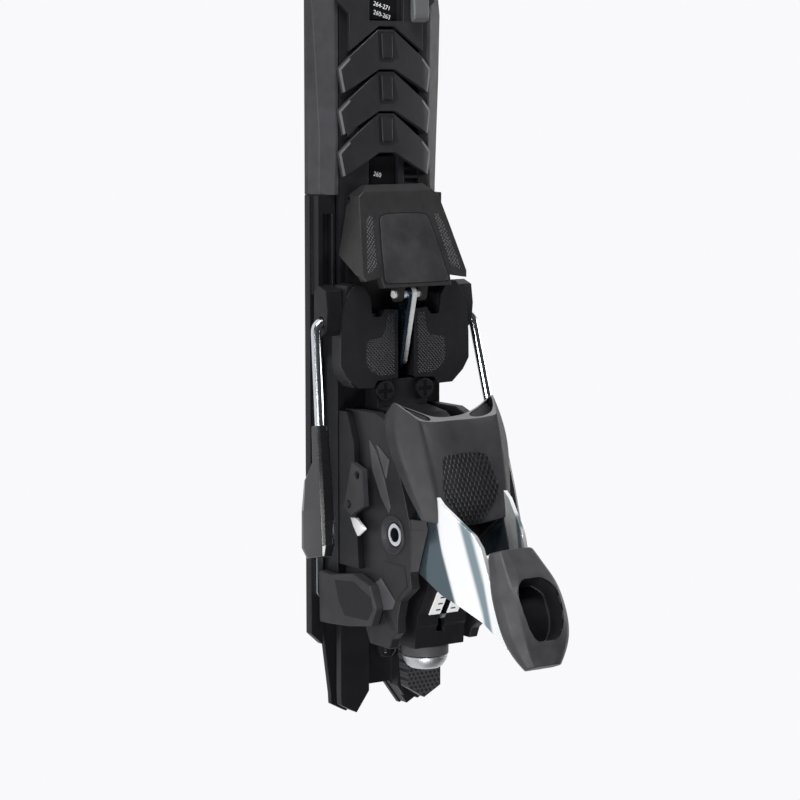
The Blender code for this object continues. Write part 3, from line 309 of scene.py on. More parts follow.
# Darkest black: painted shade in pockets, slots and grooves and on pieces deep between others, and
# the ink of the window strokes.
DARK_AND_PAINTED_SHADE = finish("dark_and_painted_shade", (0.0055, 0.0055, 0.0070), 0.46, grain=0.20)
GLOSS = finish("gloss_black", (0.006, 0.006, 0.007), 0.18, grain=0.02)
RIM = finish("cup_rim", (0.135, 0.134, 0.138), 0.50, grain=0.25, mottle=0.12)
TONGUE = finish("tongue_black", (0.030, 0.030, 0.034), 0.44, pattern="cells", pitch=0.0021,
                depth=1.6)
PLATED = finish("plated_steel", (0.74, 0.75, 0.76), 0.28, 0.45, grain=0.06, mottle=0.08)
CLAW = finish("claw_black", (0.0055, 0.0055, 0.0066), 0.27, grain=0.06, coat=0.10)
PANEL = finish("panel_rubber", (0.0215, 0.0213, 0.0228), 0.40, grain=0.12, mottle=0.40)
CELLS = finish("cell_black", (0.0065, 0.0065, 0.0080), 0.42, pattern="cells", pitch=0.0021,
               depth=1.6)
KNURL = finish("knurled_black", (0.0120, 0.0118, 0.0135), 0.42, pattern="diamond",
               pitch=0.00125, depth=2.2)
WIRE = finish("wire_steel", (0.58, 0.61, 0.65), 0.16, 1.0, grain=0.03, mottle=0.08)
ZINC = finish("zinc_steel", (0.50, 0.54, 0.58), 0.30, 1.0, grain=0.20, mottle=0.16)
CAP_SILVER = finish("cap_silver", (0.56, 0.57, 0.59), 0.42, 1.0, grain=0.60, mottle=0.22)
BLUE_ZINC = finish("blue_zinc", (0.13, 0.20, 0.27), 0.26, 1.0, grain=0.10, mottle=0.30)
WHITE = finish("white_plastic", (0.72, 0.72, 0.72), 0.42, grain=0.06, mottle=0.05)
INK = finish("white_ink", (0.62, 0.63, 0.65), 0.55, grain=0.02, mottle=0.04)
GREY = finish("grey_plastic", (0.070, 0.072, 0.076), 0.36, grain=0.14)
print("finishes", len(bpy.data.materials))

# %% [markdown]
# ## Steel of the fork
# The two polished plates of the lever mirror the room in wide soft bands, pale with a teal
# foot. A mirror finish alone needs a whole room to reflect, so the bands are a painted
# reflection: a colour ramp along the plates, and a fairly smooth metal over it still answers
# to the lights.

# %% Steel with a painted reflection
FORK_LEAN = 0.317                 # rise of the bands for each step forward
BANDS_FROM, BANDS_TO = 0.040, 0.090   # height of the first and the last band, in metres


def steel_with_painted_reflection():
    """Polished sheet with the room's reflection painted in wide soft bands along the fork."""
    made = finish("fork_steel", (0.90, 0.91, 0.92), 0.18, 0.72, grain=0.01, mottle=0.03)
    nodes, links = made.node_tree.nodes, made.node_tree.links
    split = nodes.new("ShaderNodeSeparateXYZ")
    links.new(nodes.new("ShaderNodeTexCoord").outputs["Object"], split.inputs[0])
    lean = math_node(nodes, links, "MULTIPLY", split.outputs[0], FORK_LEAN)
    height = math_node(nodes, links, "ADD", split.outputs[2], lean)
    band = nodes.new("ShaderNodeValToRGB")
    band.color_ramp.interpolation = "EASE"
    teal, pale, mid = (0.075, 0.102, 0.120, 1.0), (0.84, 0.85, 0.86, 1.0), (0.20, 0.26, 0.29, 1.0)
    stops = [(0.30, teal), (0.335, pale), (0.56, pale), (0.61, mid), (0.66, mid), (0.71, pale)]
    for i, (where, tone) in enumerate(stops):
        stop = band.color_ramp.elements[i] if i < 2 else band.color_ramp.elements.new(where)
        stop.position = where
        stop.color = tone
    links.new(spread(nodes, links, height, BANDS_FROM, BANDS_TO, 0.0, 1.0), band.inputs[0])
    links.new(band.outputs["Color"], nodes["Principled BSDF"].inputs["Base Color"])
    return made


FORK = steel_with_painted_reflection()

# %% [markdown]
# ## Which node has which finish
# The simple pieces differ only in finish. Anything not listed is the common black.

# %% Finishes of the simple pieces
LOOK = {}
# heel_carriage, the side blocks and the brake bearings take the darkest black as painted shade, for
# where they lie deep between cup, shells and wires.
for material, names in (
        (DARK_AND_PAINTED_SHADE, "base_plate heel_carriage rack_strip side_lever_pin"),
        (SOFT_BLACK, "heel_housing guide_rail"), (GLOSS, "front_scale heel_scale adjust_worm"),
        (GREY, "front_lock_hook"), (TONGUE, "lock_lever"), (EDGE_BLACK, "side_lever"),
        (ZINC, "plate_screw_1 plate_screw_2 lock_lever_pin release_spring spring_plunger"),
        (ZINC, "spring_nut brake_shaft pedal_pin"), (WHITE, "scale_window indicator_tab"),
        (PLATED, "link_pin link_rod"), (BLUE_ZINC, "link_strip"), (WIRE, "pivot_axle"),
        (FORK, "lever_fork")):
    LOOK.update((name, material) for name in names.split())
for material, names in ((DARK_AND_PAINTED_SHADE, "side_strip side_block brake_bearing shell_screw"),
                        (ZINC, "track_bar"), (WIRE, "brake_wire")):
    LOOK.update((name + "_" + side, material) for name in names.split()
                for side in ("left", "right"))
print("simple pieces with a finish of their own", len(LOOK))

# %% [markdown]
# ## Letting a piece stand for its node
# What is seen is a new piece, and the node under it stays as the part that moves. A finer
# piece rides on the node's body and stands for it. An added detail only rides: another piece
# stands for its node.

# %% Body and node of a piece
SHOWN = set()


def settle(piece, node, material=None, more=()):
    """Give a piece its finish and body, and let it stand for its node."""
    if material is not None:
        if len(piece.data.materials):
            piece.data.materials.clear()
        piece.data.materials.append(material)
        for other in more:
            piece.data.materials.append(other)
    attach(piece, BODY_OF[node])
    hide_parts(node)
    SHOWN.add(node)
    return piece


def trim(piece, node, material):
    """An added detail: finish and body of its node, which another piece stands for."""
    piece.data.materials.append(material)
    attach(piece, BODY_OF[node])
    return piece


# %% [markdown]
# ## Rounded edges
# Nothing moulded has a knife edge: each edge has a small radius that catches a line of light.
# A bevel modifier would round all edges alike. Here a bmesh bevel takes only the edges that
# are sharper than an angle, so that round forms stay as they are.

# %% Meshes, edges and bevels
def placed(bm, name):
    """An object of a bmesh, in the scene."""
    mesh = bpy.data.meshes.new(name)
    bm.to_mesh(mesh)
    bm.free()
    piece = bpy.data.objects.new(name, mesh)
    bpy.context.collection.objects.link(piece)
    return piece


def outward(bm):
    """Turn all faces outward."""
    bmesh.ops.recalc_face_normals(bm, faces=bm.faces)


def smooth_faces(bm):
    """Turn all faces outward and shade them smooth."""
    outward(bm)
    for face in bm.faces:
        face.smooth = True


def to_piece(bm, name, sharp=38.0):
    """Make an object of a bmesh, smooth but for its sharp edges, with even normals."""
    smooth_faces(bm)
    limit = math.radians(sharp)
    for edge in bm.edges:
        edge.smooth = len(edge.link_faces) == 2 and edge.calc_face_angle(0.0) < limit
    piece = placed(bm, name)
    even = piece.modifiers.new("even_normals", "WEIGHTED_NORMAL")
    even.keep_sharp = True
    return piece


def bent(bm, angle):
    """Edges of a bmesh whose faces meet at more than an angle in radians."""
    return [e for e in bm.edges if len(e.link_faces) == 2 and e.calc_face_angle(0.0) > angle]


def bevelled(bm, edges, width, segments):
    """Round some edges of a bmesh."""
    if edges:
        bmesh.ops.bevel(bm, geom=edges, offset=width, offset_type="OFFSET", segments=segments,
                        profile=0.5, affect="EDGES", clamp_overlap=True, material=-1)


def rounded(bm, width, segments=2, angle=24.0):
    """Round the edges of a bmesh that are sharper than an angle."""
    bevelled(bm, bent(bm, math.radians(angle)), width, segments)


# %% Copies of the nodes
def copy_of(node):
    """A bmesh of a node, without double points and needless edges."""
    bm = bmesh.new()
    bm.from_mesh(frame["nodes"][node].data)
    bmesh.ops.remove_doubles(bm, verts=bm.verts, dist=WELD)
    bmesh.ops.dissolve_limit(bm, angle_limit=FLAT, verts=bm.verts, edges=bm.edges)
    return bm


def refined(node, width, segments=2, angle=24.0, sharp=38.0):
    """A copy of a node with its edges rounded a little, by a width in mm."""
    bm = copy_of(node)
    rounded(bm, width * MM, segments, angle)
    return to_piece(bm, node + "_shown", sharp)


# %% [markdown]
# ## Cages
# The cup and the handle are free forms that run from flat to round. Sculpting would give them
# too, but not the same twice. A small cage of points is rounded by subdivision, and creases
# keep the edges of the form tight where the moulding has an edge.

# %% Cages and creases
CAGE_LEVELS = 3


def smooth_cage(bm, name):
    """Make an object of a cage that is rounded by subdivision."""
    smooth_faces(bm)
    piece = placed(bm, name)
    round_off = piece.modifiers.new("round_off", "SUBSURF")
    round_off.levels = CAGE_LEVELS
    round_off.render_levels = CAGE_LEVELS
    return piece


def new_cage():
    """An empty cage whose edges and corners can be kept tight."""
    bm = bmesh.new()
    bm.edges.layers.float.new("crease_edge")
    bm.verts.layers.float.new("crease_vert")
    return bm


def creased(bm, edges, weight):
    """Keep some edges of a cage tight."""
    layer = bm.edges.layers.float["crease_edge"]
    for edge in edges:
        edge[layer] = max(edge[layer], weight)


def pinned(bm, edges, weight):
    """Keep the corners along some edges of a cage tight too."""
    layer = bm.verts.layers.float["crease_vert"]
    for vert in {v for edge in edges for v in edge.verts}:
        vert[layer] = weight


# %% [markdown]
# ## Solids from outlines
# Arms, walls and strokes have one outline and a thickness, and caps and rings are turned.
# Cutting them out of blocks with booleans would leave slivers, so the solids stand between
# two outlines, and the turned ones are a profile spun round its axis.

# %% Solids between outlines, and turned solids
def bands(bm, rings):
    """Faces between closed rings of the same count, ring after ring."""
    made = []
    for first, second in zip(rings, rings[1:]):
        for i in range(len(first)):
            j = (i + 1) % len(first)
            made.append(bm.faces.new((first[i], first[j], second[j], second[i])))
    return made


def solid_from(name, low, high, width=0.3):
    """A closed solid between two rings of points in mm, with rounded edges."""
    bm = bmesh.new()
    below = [bm.verts.new(Vector(p) * MM) for p in low]
    above = [bm.verts.new(Vector(p) * MM) for p in high]
    bm.faces.new(below[::-1])
    bm.faces.new(above)
    bands(bm, [below, above])
    outward(bm)
    if width:
        rounded(bm, width * MM)
    return to_piece(bm, name)


def turned(name, profile, centre, axis, steps, sharp=38.0, closed=False):
    """Spin a profile of (place along the axis, radius) in mm round an axis along X or Y."""
    bm = bmesh.new()
    along_x = axis == "X"
    verts = [bm.verts.new(Vector((at, centre[1], centre[2] + r) if along_x
                                 else (centre[0] + r, at, centre[2])) * MM) for at, r in profile]
    edges = [bm.edges.new(pair) for pair in zip(verts, verts[1:])]
    if closed:
        edges.append(bm.edges.new((verts[-1], verts[0])))
    bmesh.ops.spin(bm, geom=verts + edges, cent=Vector(centre) * MM,
                   axis=(1, 0, 0) if along_x else (0, 1, 0), angle=2 * math.pi, steps=steps,
                   use_merge=True)
    bmesh.ops.remove_doubles(bm, verts=bm.verts, dist=0.002 * MM)
    return to_piece(bm, name, sharp)


# %% [markdown]
# ## Pads laid on a surface
# Grips, panels and facets stand a few tenths of a millimetre above the form under them and
# follow its bends. A shrinkwrap modifier could hold a flat sheet on the form, but its border
# would float. Here each point of an outline is dropped on the surface by a ray, ring by ring
# towards the middle, and the border is sunk so that no gap shows.

# %% Dropping an outline on a surface
PAD_STEP = 1.2     # longest side of a pad's outline, in mm
PAD_SINK = 0.5     # depth of the border under the surface, in mm
PAD_INNER = (0.8, 0.6, 0.4, 0.2)


def surface_of(piece):
    """Something to drop points on: the piece as it will be seen."""
    bpy.context.view_layer.update()
    return BVHTree.FromObject(piece, bpy.context.evaluated_depsgraph_get())


def dense(outline):
    """The same closed outline with more points along its sides."""
    points = []
    for (a, b), (c, d) in zip(outline, outline[1:] + outline[:1]):
        count = max(1, int(math.hypot(c - a, d - b) / PAD_STEP))
        points += [(a + (c - a) * i / count, b + (d - b) * i / count) for i in range(count)]
    return points


def draped(name, outline, target, axis="Z", side=1, lift=0.3, edge=0.35):
    """A thin pad whose outline in mm is dropped on a surface along Z or along Y."""
    outline = dense(outline)
    middle = (sum(p[0] for p in outline) / len(outline), sum(p[1] for p in outline) / len(outline))
    reach = max(math.hypot(p[0] - middle[0], p[1] - middle[1]) for p in outline)
    rows = [(1.0, -PAD_SINK), (1.0, lift * 0.5), (1.0 - edge / reach, lift)]
    rows += [(share, lift) for share in PAD_INNER] + [(0.0, lift)]
    way = Vector((0, 0, -1)) if axis == "Z" else Vector((0, -side, 0))
    bm = bmesh.new()
    rings = []
    for share, raised in rows:
        ring = []
        for a, b in outline if share else [middle]:
            a, b = middle[0] + (a - middle[0]) * share, middle[1] + (b - middle[1]) * share
            start = Vector((a, b, 250.0)) if axis == "Z" else Vector((a, side * 150.0, b))
            hit = target.ray_cast(start * MM, way)[0]
            if hit is None:
                raise ValueError(name + " misses its surface")
            ring.append(bm.verts.new(hit - way * raised * MM))
        rings.append(ring)
    bands(bm, rings[:-1])
    last, tip = rings[-2], rings[-1][0]
    for i in range(len(last)):
        bm.faces.new((last[i], last[(i + 1) % len(last)], tip))
    bm.faces.new(rings[0][::-1])
    return to_piece(bm, name, 50.0)


def flipped(outline):
    """The outline on the other side of the middle plane."""
    return [(a, -b) for a, b in outline]


# %% [markdown]
# ## Heel cup
# The cup holds the heel of the boot down. It is a bent shell with a crease down each side, a
# thick pale lip at its mouth with two pockets in it, and two arms that reach back to the
# axle. A bent plate would miss the thick lip, so outer and inner rows of points make one
# closed cage, and the pockets are pushed into it. The honeycomb grip is laid on last.

# %% Rows of the cup
CUP_OUT = [
    [(-42.3, 27.6, 54.0), (-35.4, 28.0, 61.5), (-43.6, 21.9, 73.4), (-45.6, 11.5, 69.4),
     (-45.4, 0, 67.3)],
    [(-46.0, 29.4, 56.0), (-41.5, 30.0, 63.5), (-46.5, 21.7, 74.6), (-48.0, 11.5, 71.0),
     (-48.0, 0, 69.2)],
    [(-51.0, 30.8, 58.8), (-50.0, 31.1, 67.0), (-52.0, 21.5, 76.6), (-53.0, 11.0, 73.6),
     (-53.5, 0, 72.2)],
    [(-60.0, 31.2, 63.8), (-59.5, 31.1, 70.6), (-60.0, 21.1, 79.4), (-60.3, 10.5, 77.6),
     (-60.5, 0, 76.6)],
    [(-74.0, 29.0, 71.6), (-74.0, 27.8, 75.6), (-75.5, 20.1, 84.2), (-75.8, 10.0, 83.2),
     (-76.0, 0, 82.8)],
    [(-85.0, 26.2, 78.0), (-85.2, 24.8, 80.2), (-86.0, 19.6, 85.7), (-87.0, 9.0, 85.4),
     (-87.5, 0, 85.3)],
    [(-88.3, 25.2, 79.9), (-88.6, 24.0, 81.4), (-89.5, 19.2, 85.7), (-91.2, 9.0, 85.5),
     (-91.8, 0, 85.5)]]
ARM_IN, ARM_OUT = 14.5, 17.3
LIP = [(-41.6, 26.3, 54.6), (-36.6, 26.4, 60.4), (-40.6, 17.0, 65.2), (-43.6, 9.0, 64.4),
       (-44.4, 0, 64.2)]


def cup_rows():
    """Outer and inner rows of the cup's cage, from the left edge to the right."""
    rows = []
    for k, outer in enumerate(CUP_OUT):
        if k == 0:
            inner = LIP
        else:
            inner = [(x - 0.4, y - w, z - d) for (x, y, z), w, d in
                     zip(outer, (2.8, 3.0, 1.8, 0.4, 0.0), (-0.4, 0.6, 3.6, 3.4, 3.2))]
        outer = outer + [(x, -y, z) for x, y, z in reversed(outer[:-1])]
        inner = inner + [(x, -y, z) for x, y, z in reversed(inner[:-1])]
        rows.append((outer, inner))
    return rows


print("cup rows", len(CUP_OUT))


# %% The cup, its arms and its grip
def heel_cup():
    """The shell of the cup, its lip pockets and its two arms."""
    bm = new_cage()
    rows = [[[bm.verts.new(Vector(p) * MM) for p in line] for line in pair] for pair in cup_rows()]
    last = len(rows[0][0]) - 1
    tight = []
    lip = []
    for (out_a, in_a), (out_b, in_b) in zip(rows, rows[1:]):
        for i in range(last):
            bm.faces.new((out_a[i], out_a[i + 1], out_b[i + 1], out_b[i]))
            bm.faces.new((in_a[i], in_b[i], in_b[i + 1], in_a[i + 1]))
        for k in (0, last):
            bm.faces.new((out_a[k], out_b[k], in_b[k], in_a[k]))
            tight += [(out_a[k], out_b[k], 0.9), (in_a[k], in_b[k], 0.8)]
        for k, weight in ((1, 0.45), (last - 1, 0.45), (2, 0.8), (last - 2, 0.8)):
            tight.append((out_a[k], out_b[k], weight))
    for where, (outer, inner) in enumerate((rows[0], rows[-1])):
        for i in range(last):
            face = bm.faces.new((outer[i], outer[i + 1], inner[i + 1], inner[i]))
            if where == 0:
                lip.append(face)
            tight += [(outer[i], outer[i + 1], 0.9), (inner[i], inner[i + 1], 0.8)]
        for k in (0, last):
            tight.append((outer[k], inner[k], 0.9))
    for a, b, weight in tight:
        creased(bm, [bm.edges.get((a, b))], weight)
    outward(bm)
    for face in lip:
        face.material_index = 2
    for group in ((1, 2), (last - 2, last - 3)):
        faces = [lip[i] for i in group]
        bmesh.ops.inset_region(bm, faces=faces, thickness=0.75 * MM, use_even_offset=True)
        edges = {e for f in faces for e in f.edges}
        creased(bm, edges, 0.9)
        pushed = bmesh.ops.extrude_face_region(bm, geom=faces)
        verts = [g for g in pushed["geom"] if isinstance(g, bmesh.types.BMVert)]
        bmesh.ops.delete(bm, geom=faces, context="FACES")
        bmesh.ops.translate(bm, verts=verts, vec=Vector((-5.2, 0.0, -0.6)) * MM)
        # The pocket faces take the darkest black: painted shade deepening the pushed-in hollow.
        for face in {f for v in verts for f in v.link_faces}:
            face.material_index = 1
    cup = smooth_cage(bm, "cup_shell")
    settle(cup, "heel_cup", CUP_BLACK, [DARK_AND_PAINTED_SHADE, RIM])
    for side, name in SIDES:
        arm = [(-106.0, 50.5), (-98.0, 47.8), (-90.0, 51.0), (-77.5, 70.0), (-75.3, 80.7),
               (-90.4, 83.9), (-106.5, 62.0)]
        inner, outer = side * ARM_IN, side * ARM_OUT
        piece = solid_from("cup_arm_" + name, [(x, inner, z) for x, z in arm],
                           [(x, outer, z) for x, z in arm])
        trim(piece, "heel_cup", BLACK)
    skin = surface_of(cup)
    pad = [(-61.2, 12.4), (-59.9, 9.0), (-59.6, 0.0), (-59.9, -9.0), (-61.2, -12.4), (-75.0, -15.6),
           (-79.4, -14.4), (-90.4, -5.6), (-90.8, 0.0), (-90.4, 5.6), (-79.4, 14.4), (-75.0, 15.6)]
    settle(draped("cup_cells", pad, skin, lift=0.12, edge=0.8), "cup_pad", CELLS)


heel_cup()

# %% [markdown]
# ## Lever handle
# The step-out handle is a rounded spoon on the end of the fork, with a pocket that takes a
# pole tip. It could be lofted and cut with a boolean, but the pocket's rim would stay hard.
# Cross-sections along the fork's slope make a cage instead, and its top faces are pushed in.

# %% Slope of the fork and sections of the handle
FORK_NEAR, FORK_FAR = (-102.0, 110.0), (-140.6, 128.2)   # X and Z of the fork's two ends
POCKET_DEPTH = 9.4
POCKET_TAPER = 0.90
SLOPE = math.atan2(FORK_FAR[1] - FORK_NEAR[1], FORK_NEAR[0] - FORK_FAR[0])
ALONG = Vector((-math.cos(SLOPE), 0.0, math.sin(SLOPE)))
ACROSS = Vector((math.sin(SLOPE), 0.0, math.cos(SLOPE)))
CAP_START = Vector((FORK_NEAR[0], 0.0, FORK_NEAR[1])) + ACROSS * 0.3 - ALONG * 0.6
# along the slope, half width, height, base, share of the rim
CAP_ROWS = [(0.0, 12.0, 8.0, 0.0, 0.40), (4.0, 13.4, 9.6, 0.0, 0.38), (9.5, 15.1, 11.5, 0.0, 0.34),
            (15.0, 16.9, 13.6, 0.0, 0.34), (20.8, 17.9, 15.3, 0.0, 0.64),
            (31.0, 18.2, 16.1, 0.0, 0.62),
            (38.5, 17.6, 15.3, 0.2, 0.56), (44.6, 16.0, 13.5, 0.7, 0.40),
            (50.2, 13.0, 10.9, 1.2, 0.36),
            (54.4, 9.8, 8.7, 1.8, 0.34)]

print("handle slope", round(math.degrees(SLOPE), 1))


# %% The handle and its pocket
def lever_cap():
    """The handle's cage, with its pocket pushed in."""
    bm = new_cage()
    rings = []
    for distance, half, height, base, rim in CAP_ROWS:
        rise = height - base
        section = [(0.0, height - 0.4), (half * rim, height), (half * 0.70, base + rise * 0.93),
                   (half * 0.93, base + rise * 0.66), (half, base + rise * 0.40),
                   (half * 0.80, base), (0.0, base)]
        section += [(-y, z) for y, z in reversed(section[1:-1])]
        start = CAP_START + ALONG * distance
        rings.append([bm.verts.new((start + Vector((0, y, 0)) + ACROSS * z) * MM)
                      for y, z in section])
    count = len(rings[0])
    faces = bands(bm, rings)
    top = [faces[number * count + i] for number in (3, 4, 5, 6) for i in (0, count - 1)]
    for first, second in zip(rings, rings[1:]):
        for k, weight in ((1, 0.55), (2, 0.6), (3, 0.4), (4, 0.35), (5, 0.6)):
            creased(bm, [bm.edges.get((first[i], second[i])) for i in (k, count - k)], weight)
    for ring in (rings[0], rings[-1]):
        bm.faces.new(ring)
        creased(bm, [bm.edges.get((ring[i], ring[(i + 1) % count])) for i in range(count)], 0.75)
    outward(bm)
    bmesh.ops.inset_region(bm, faces=top, thickness=0.35 * MM, use_even_offset=True)
    outside = {e for f in top for e in f.edges if len([g for g in e.link_faces if g in top]) == 1}
    creased(bm, outside, 1.0)
    pinned(bm, outside, 0.7)
    pushed = bmesh.ops.extrude_face_region(bm, geom=top)
    verts = [g for g in pushed["geom"] if isinstance(g, bmesh.types.BMVert)]
    bmesh.ops.delete(bm, geom=top, context="FACES")
    middle = sum((v.co for v in verts), Vector()) / len(verts)
    for v in verts:
        v.co = middle + (v.co - middle) * POCKET_TAPER - ACROSS * POCKET_DEPTH * MM
    bm.normal_update()
    floor_faces = [g for g in pushed["geom"] if isinstance(g, bmesh.types.BMFace)]
    rim_low = {e for f in floor_faces for e in f.edges
               if len([g for g in e.link_faces if g in floor_faces]) == 1}
    creased(bm, rim_low, 0.8)
    # The pocket's faces take the darkest black: painted shade deepening the pushed-in hollow.
    for face in {f for v in verts for f in v.link_faces}:
        face.material_index = 1
    settle(smooth_cage(bm, "lever_handle"), "lever_cap", CAP_GREY, [DARK_AND_PAINTED_SHADE])


lever_cap()


# %% [markdown]
# ## Pedal
# The boot's sole presses this wedge down and lifts the brake. Its nose and the edges of its
# top are round, its flanks are knurled, and a smoother panel lies on top. A new wedge could
# be drawn, but the node has the hinge and the hollows already, so a copy of it is rounded:
# the upright corners first, then the top edge all round.

# %% The pedal, its flanks and its panel
PEDAL_NOSE = (58.0, 24.6)      # X and Z of the front of the flat top
PEDAL_LEAN = math.radians(20.8)
CORNER = 0.3                   # in radians: edges blunter than this aren't corners


def pedal_top(x):
    """Height of the pedal's flat top."""
    return PEDAL_NOSE[1] + (PEDAL_NOSE[0] - x) * math.tan(PEDAL_LEAN)


def brake_pedal():
    """The pedal with a round nose, its textured flanks and its panel."""
    bm = copy_of("brake_pedal")

    def upper(vert):
        x, _, z = vert.co / MM
        return z > pedal_top(x) - 0.6 or x > 57.0 and z > 18.0

    corners = [e for e in bent(bm, CORNER) if all(v.co.x > 44.0 * MM for v in e.verts)
               and abs(e.verts[0].co.z - e.verts[1].co.z) > 2.5 * MM]
    bevelled(bm, corners, 4.0 * MM, 5)
    top = [e for e in bent(bm, CORNER) if all(upper(v) for v in e.verts)]
    bevelled(bm, top, 2.2 * MM, 4)
    print("pedal corners", len(corners), "top edges", len(top))
    rounded(bm, 0.3 * MM, 2, 35.0)
    pedal = settle(to_piece(bm, "pedal_body", 45.0), "brake_pedal", PEDAL_BLACK)
    skin = surface_of(pedal)
    flank = [(47.5, 19.6), (44.0, 21.6), (25.0, 26.0), (21.0, 26.6), (22.6, 22.4), (24.0, 20.6),
             (40.0, 18.4), (47.0, 17.4)]
    for name, outline in (("left", flank), ("right", flipped(flank))):
        pad = draped("pedal_flank_" + name, outline, skin, lift=0.12, edge=0.3)
        trim(pad, "brake_pedal", KNURL)
    panel = [(47.6, 9.0), (47.8, 0.0), (47.6, -9.0), (46.8, -12.6), (45.0, -13.8), (32.0, -16.0),
             (18.0, -17.9), (16.8, -17.4), (16.4, -15.0), (16.2, 0.0), (16.4, 15.0), (16.8, 17.4),
             (18.0, 17.9), (32.0, 16.0), (45.0, 13.8), (46.8, 12.6)]
    # A dark outline a little wider than the panel lies under it: painted shade of the groove round
    # the panel.
    line = [(32.0 + (x - 32.0) * 1.035, y * 1.05) for x, y in panel]
    trim(draped("pedal_groove_shade", line, skin, lift=0.10, edge=0.2), "brake_pedal", DARK_AND_PAINTED_SHADE)
    settle(draped("pedal_pad", panel, skin, lift=0.55, edge=1.0), "pedal_panel", PANEL)


brake_pedal()


# %% [markdown]
# ## Front shells
# Two black shells stand left and right of the brake link, each a wall with a wider top plate,
# a knurled grip and a cross-slot screw. Wall and plate have outlines of their own, because
# the plate overhangs. One outline at three heights gives the plate its rounded upper edge.

# %% Outlines of a shell
SHELL_PLAN = [(2.9, 5.3), (2.9, 11.6), (0.8, 12.6), (-0.6, 14.0), (-0.6, 18.4), (0.8, 19.9),
              (9.0, 20.8), (14.6, 24.6), (14.8, 28.2), (9.4, 32.4), (2.0, 34.2), (-9.0, 35.4),
              (-21.5, 35.6), (-26.6, 32.4), (-32.0, 26.4), (-32.2, 18.4), (-28.9, 16.4),
              (-28.9, 5.3)]
SHELL_LOW = [(2.9, 5.3), (2.9, 11.6), (-0.3, 12.6), (-0.6, 14.0), (-0.6, 18.4), (0.2, 20.4),
             (9.4, 20.6), (15.8, 25.8), (15.0, 30.8), (9.0, 32.3), (2.0, 32.4), (-9.2, 32.5),
             (-21.5, 32.8), (-26.6, 31.4), (-32.8, 27.0), (-32.2, 18.4), (-28.9, 16.4),
             (-28.9, 5.3)]
PLATE_LAYERS = [(27.8, 0.0), (29.9, 0.0), (31.0, 0.9)]   # height and inset, in mm
SHELL_CORNER = 0.25            # in radians
print("shell outline points", len(SHELL_PLAN))


# %% The shells, their grips and their screw slots
def shell_plate(side):
    """A bmesh of a shell's top plate, with its outline drawn in at the top."""
    bm = bmesh.new()
    rings = []
    for z, inset in PLATE_LAYERS:
        ring = []
        for i, (x, y) in enumerate(SHELL_PLAN):
            before = Vector(SHELL_PLAN[i - 1])
            after = Vector(SHELL_PLAN[(i + 1) % len(SHELL_PLAN)])
            way = (after - before).normalized()
            point = Vector((x + way.y * inset, side * (y - way.x * inset), z))
            ring.append(bm.verts.new(point * MM))
        rings.append(ring)
    bands(bm, rings)
    bm.faces.new(rings[0])
    bm.faces.new(rings[-1])
    outward(bm)
    corners = [e for e in bent(bm, SHELL_CORNER)
               if abs(e.verts[0].co.z - e.verts[1].co.z) > 0.5 * MM]
    bevelled(bm, corners, 1.6 * MM, 4)
    rounded(bm, 0.45 * MM, 3, 20.0)
    return bm


def front_shell(side, name):
    """One shell: its wall, its wide top plate with round edges, and its knurled pad."""
    node = "front_shell_" + name

    def at(plan, z):
        return [(x, side * y, z) for x, y in plan]

    wall = solid_from("shell_wall_" + name, at(SHELL_LOW, 17.3), at(SHELL_LOW, 27.75), 0.3)
    trim(wall, node, SOFT_BLACK)
    shell = settle(to_piece(shell_plate(side), "shell_" + name, 35.0), node, SHELL_BLACK)
    skin = surface_of(shell)
    pad = [(1.4, 6.6), (1.4, 10.4), (-6.4, 11.8), (-9.6, 14.0), (-10.6, 21.0), (-12.0, 22.4),
           (-21.0, 22.4), (-24.4, 20.4), (-27.2, 15.4), (-27.4, 6.6)]
    outline = pad if side > 0 else flipped(pad)
    trim(draped("shell_pad_" + name, outline, skin, lift=0.12, edge=0.3), node, KNURL)
    cross = [(-31.0, 0.9), (-33.9, 0.9), (-33.9, 3.8), (-35.7, 3.8), (-35.7, 0.9), (-38.6, 0.9),
             (-38.6, -0.9), (-35.7, -0.9), (-35.7, -3.8), (-33.9, -3.8), (-33.9, -0.9),
             (-31.0, -0.9)]
    screw = [(x, side * 11.3 + y) for x, y in cross]
    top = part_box("shell_screw_" + name)[1].z / MM
    slot = solid_from("shell_screw_slot_" + name, [(x, y, top - 0.3) for x, y in screw],
                      [(x, y, top + 0.04) for x, y in screw], 0.0)
    trim(slot, "shell_screw_" + name, GLOSS)


for side, name in SIDES:
    front_shell(side, name)


# %% [markdown]
# ## Chevron covers
# Three flexible covers bridge the gap that opens when the heel unit slides. Each is a
# chevron, folded down at its tips, with pale strips along its edges that are painted
# highlights, and a small block on a dark patch that is the painted shade of a hollow.
# The three are alike, so one function makes each from its node's box.

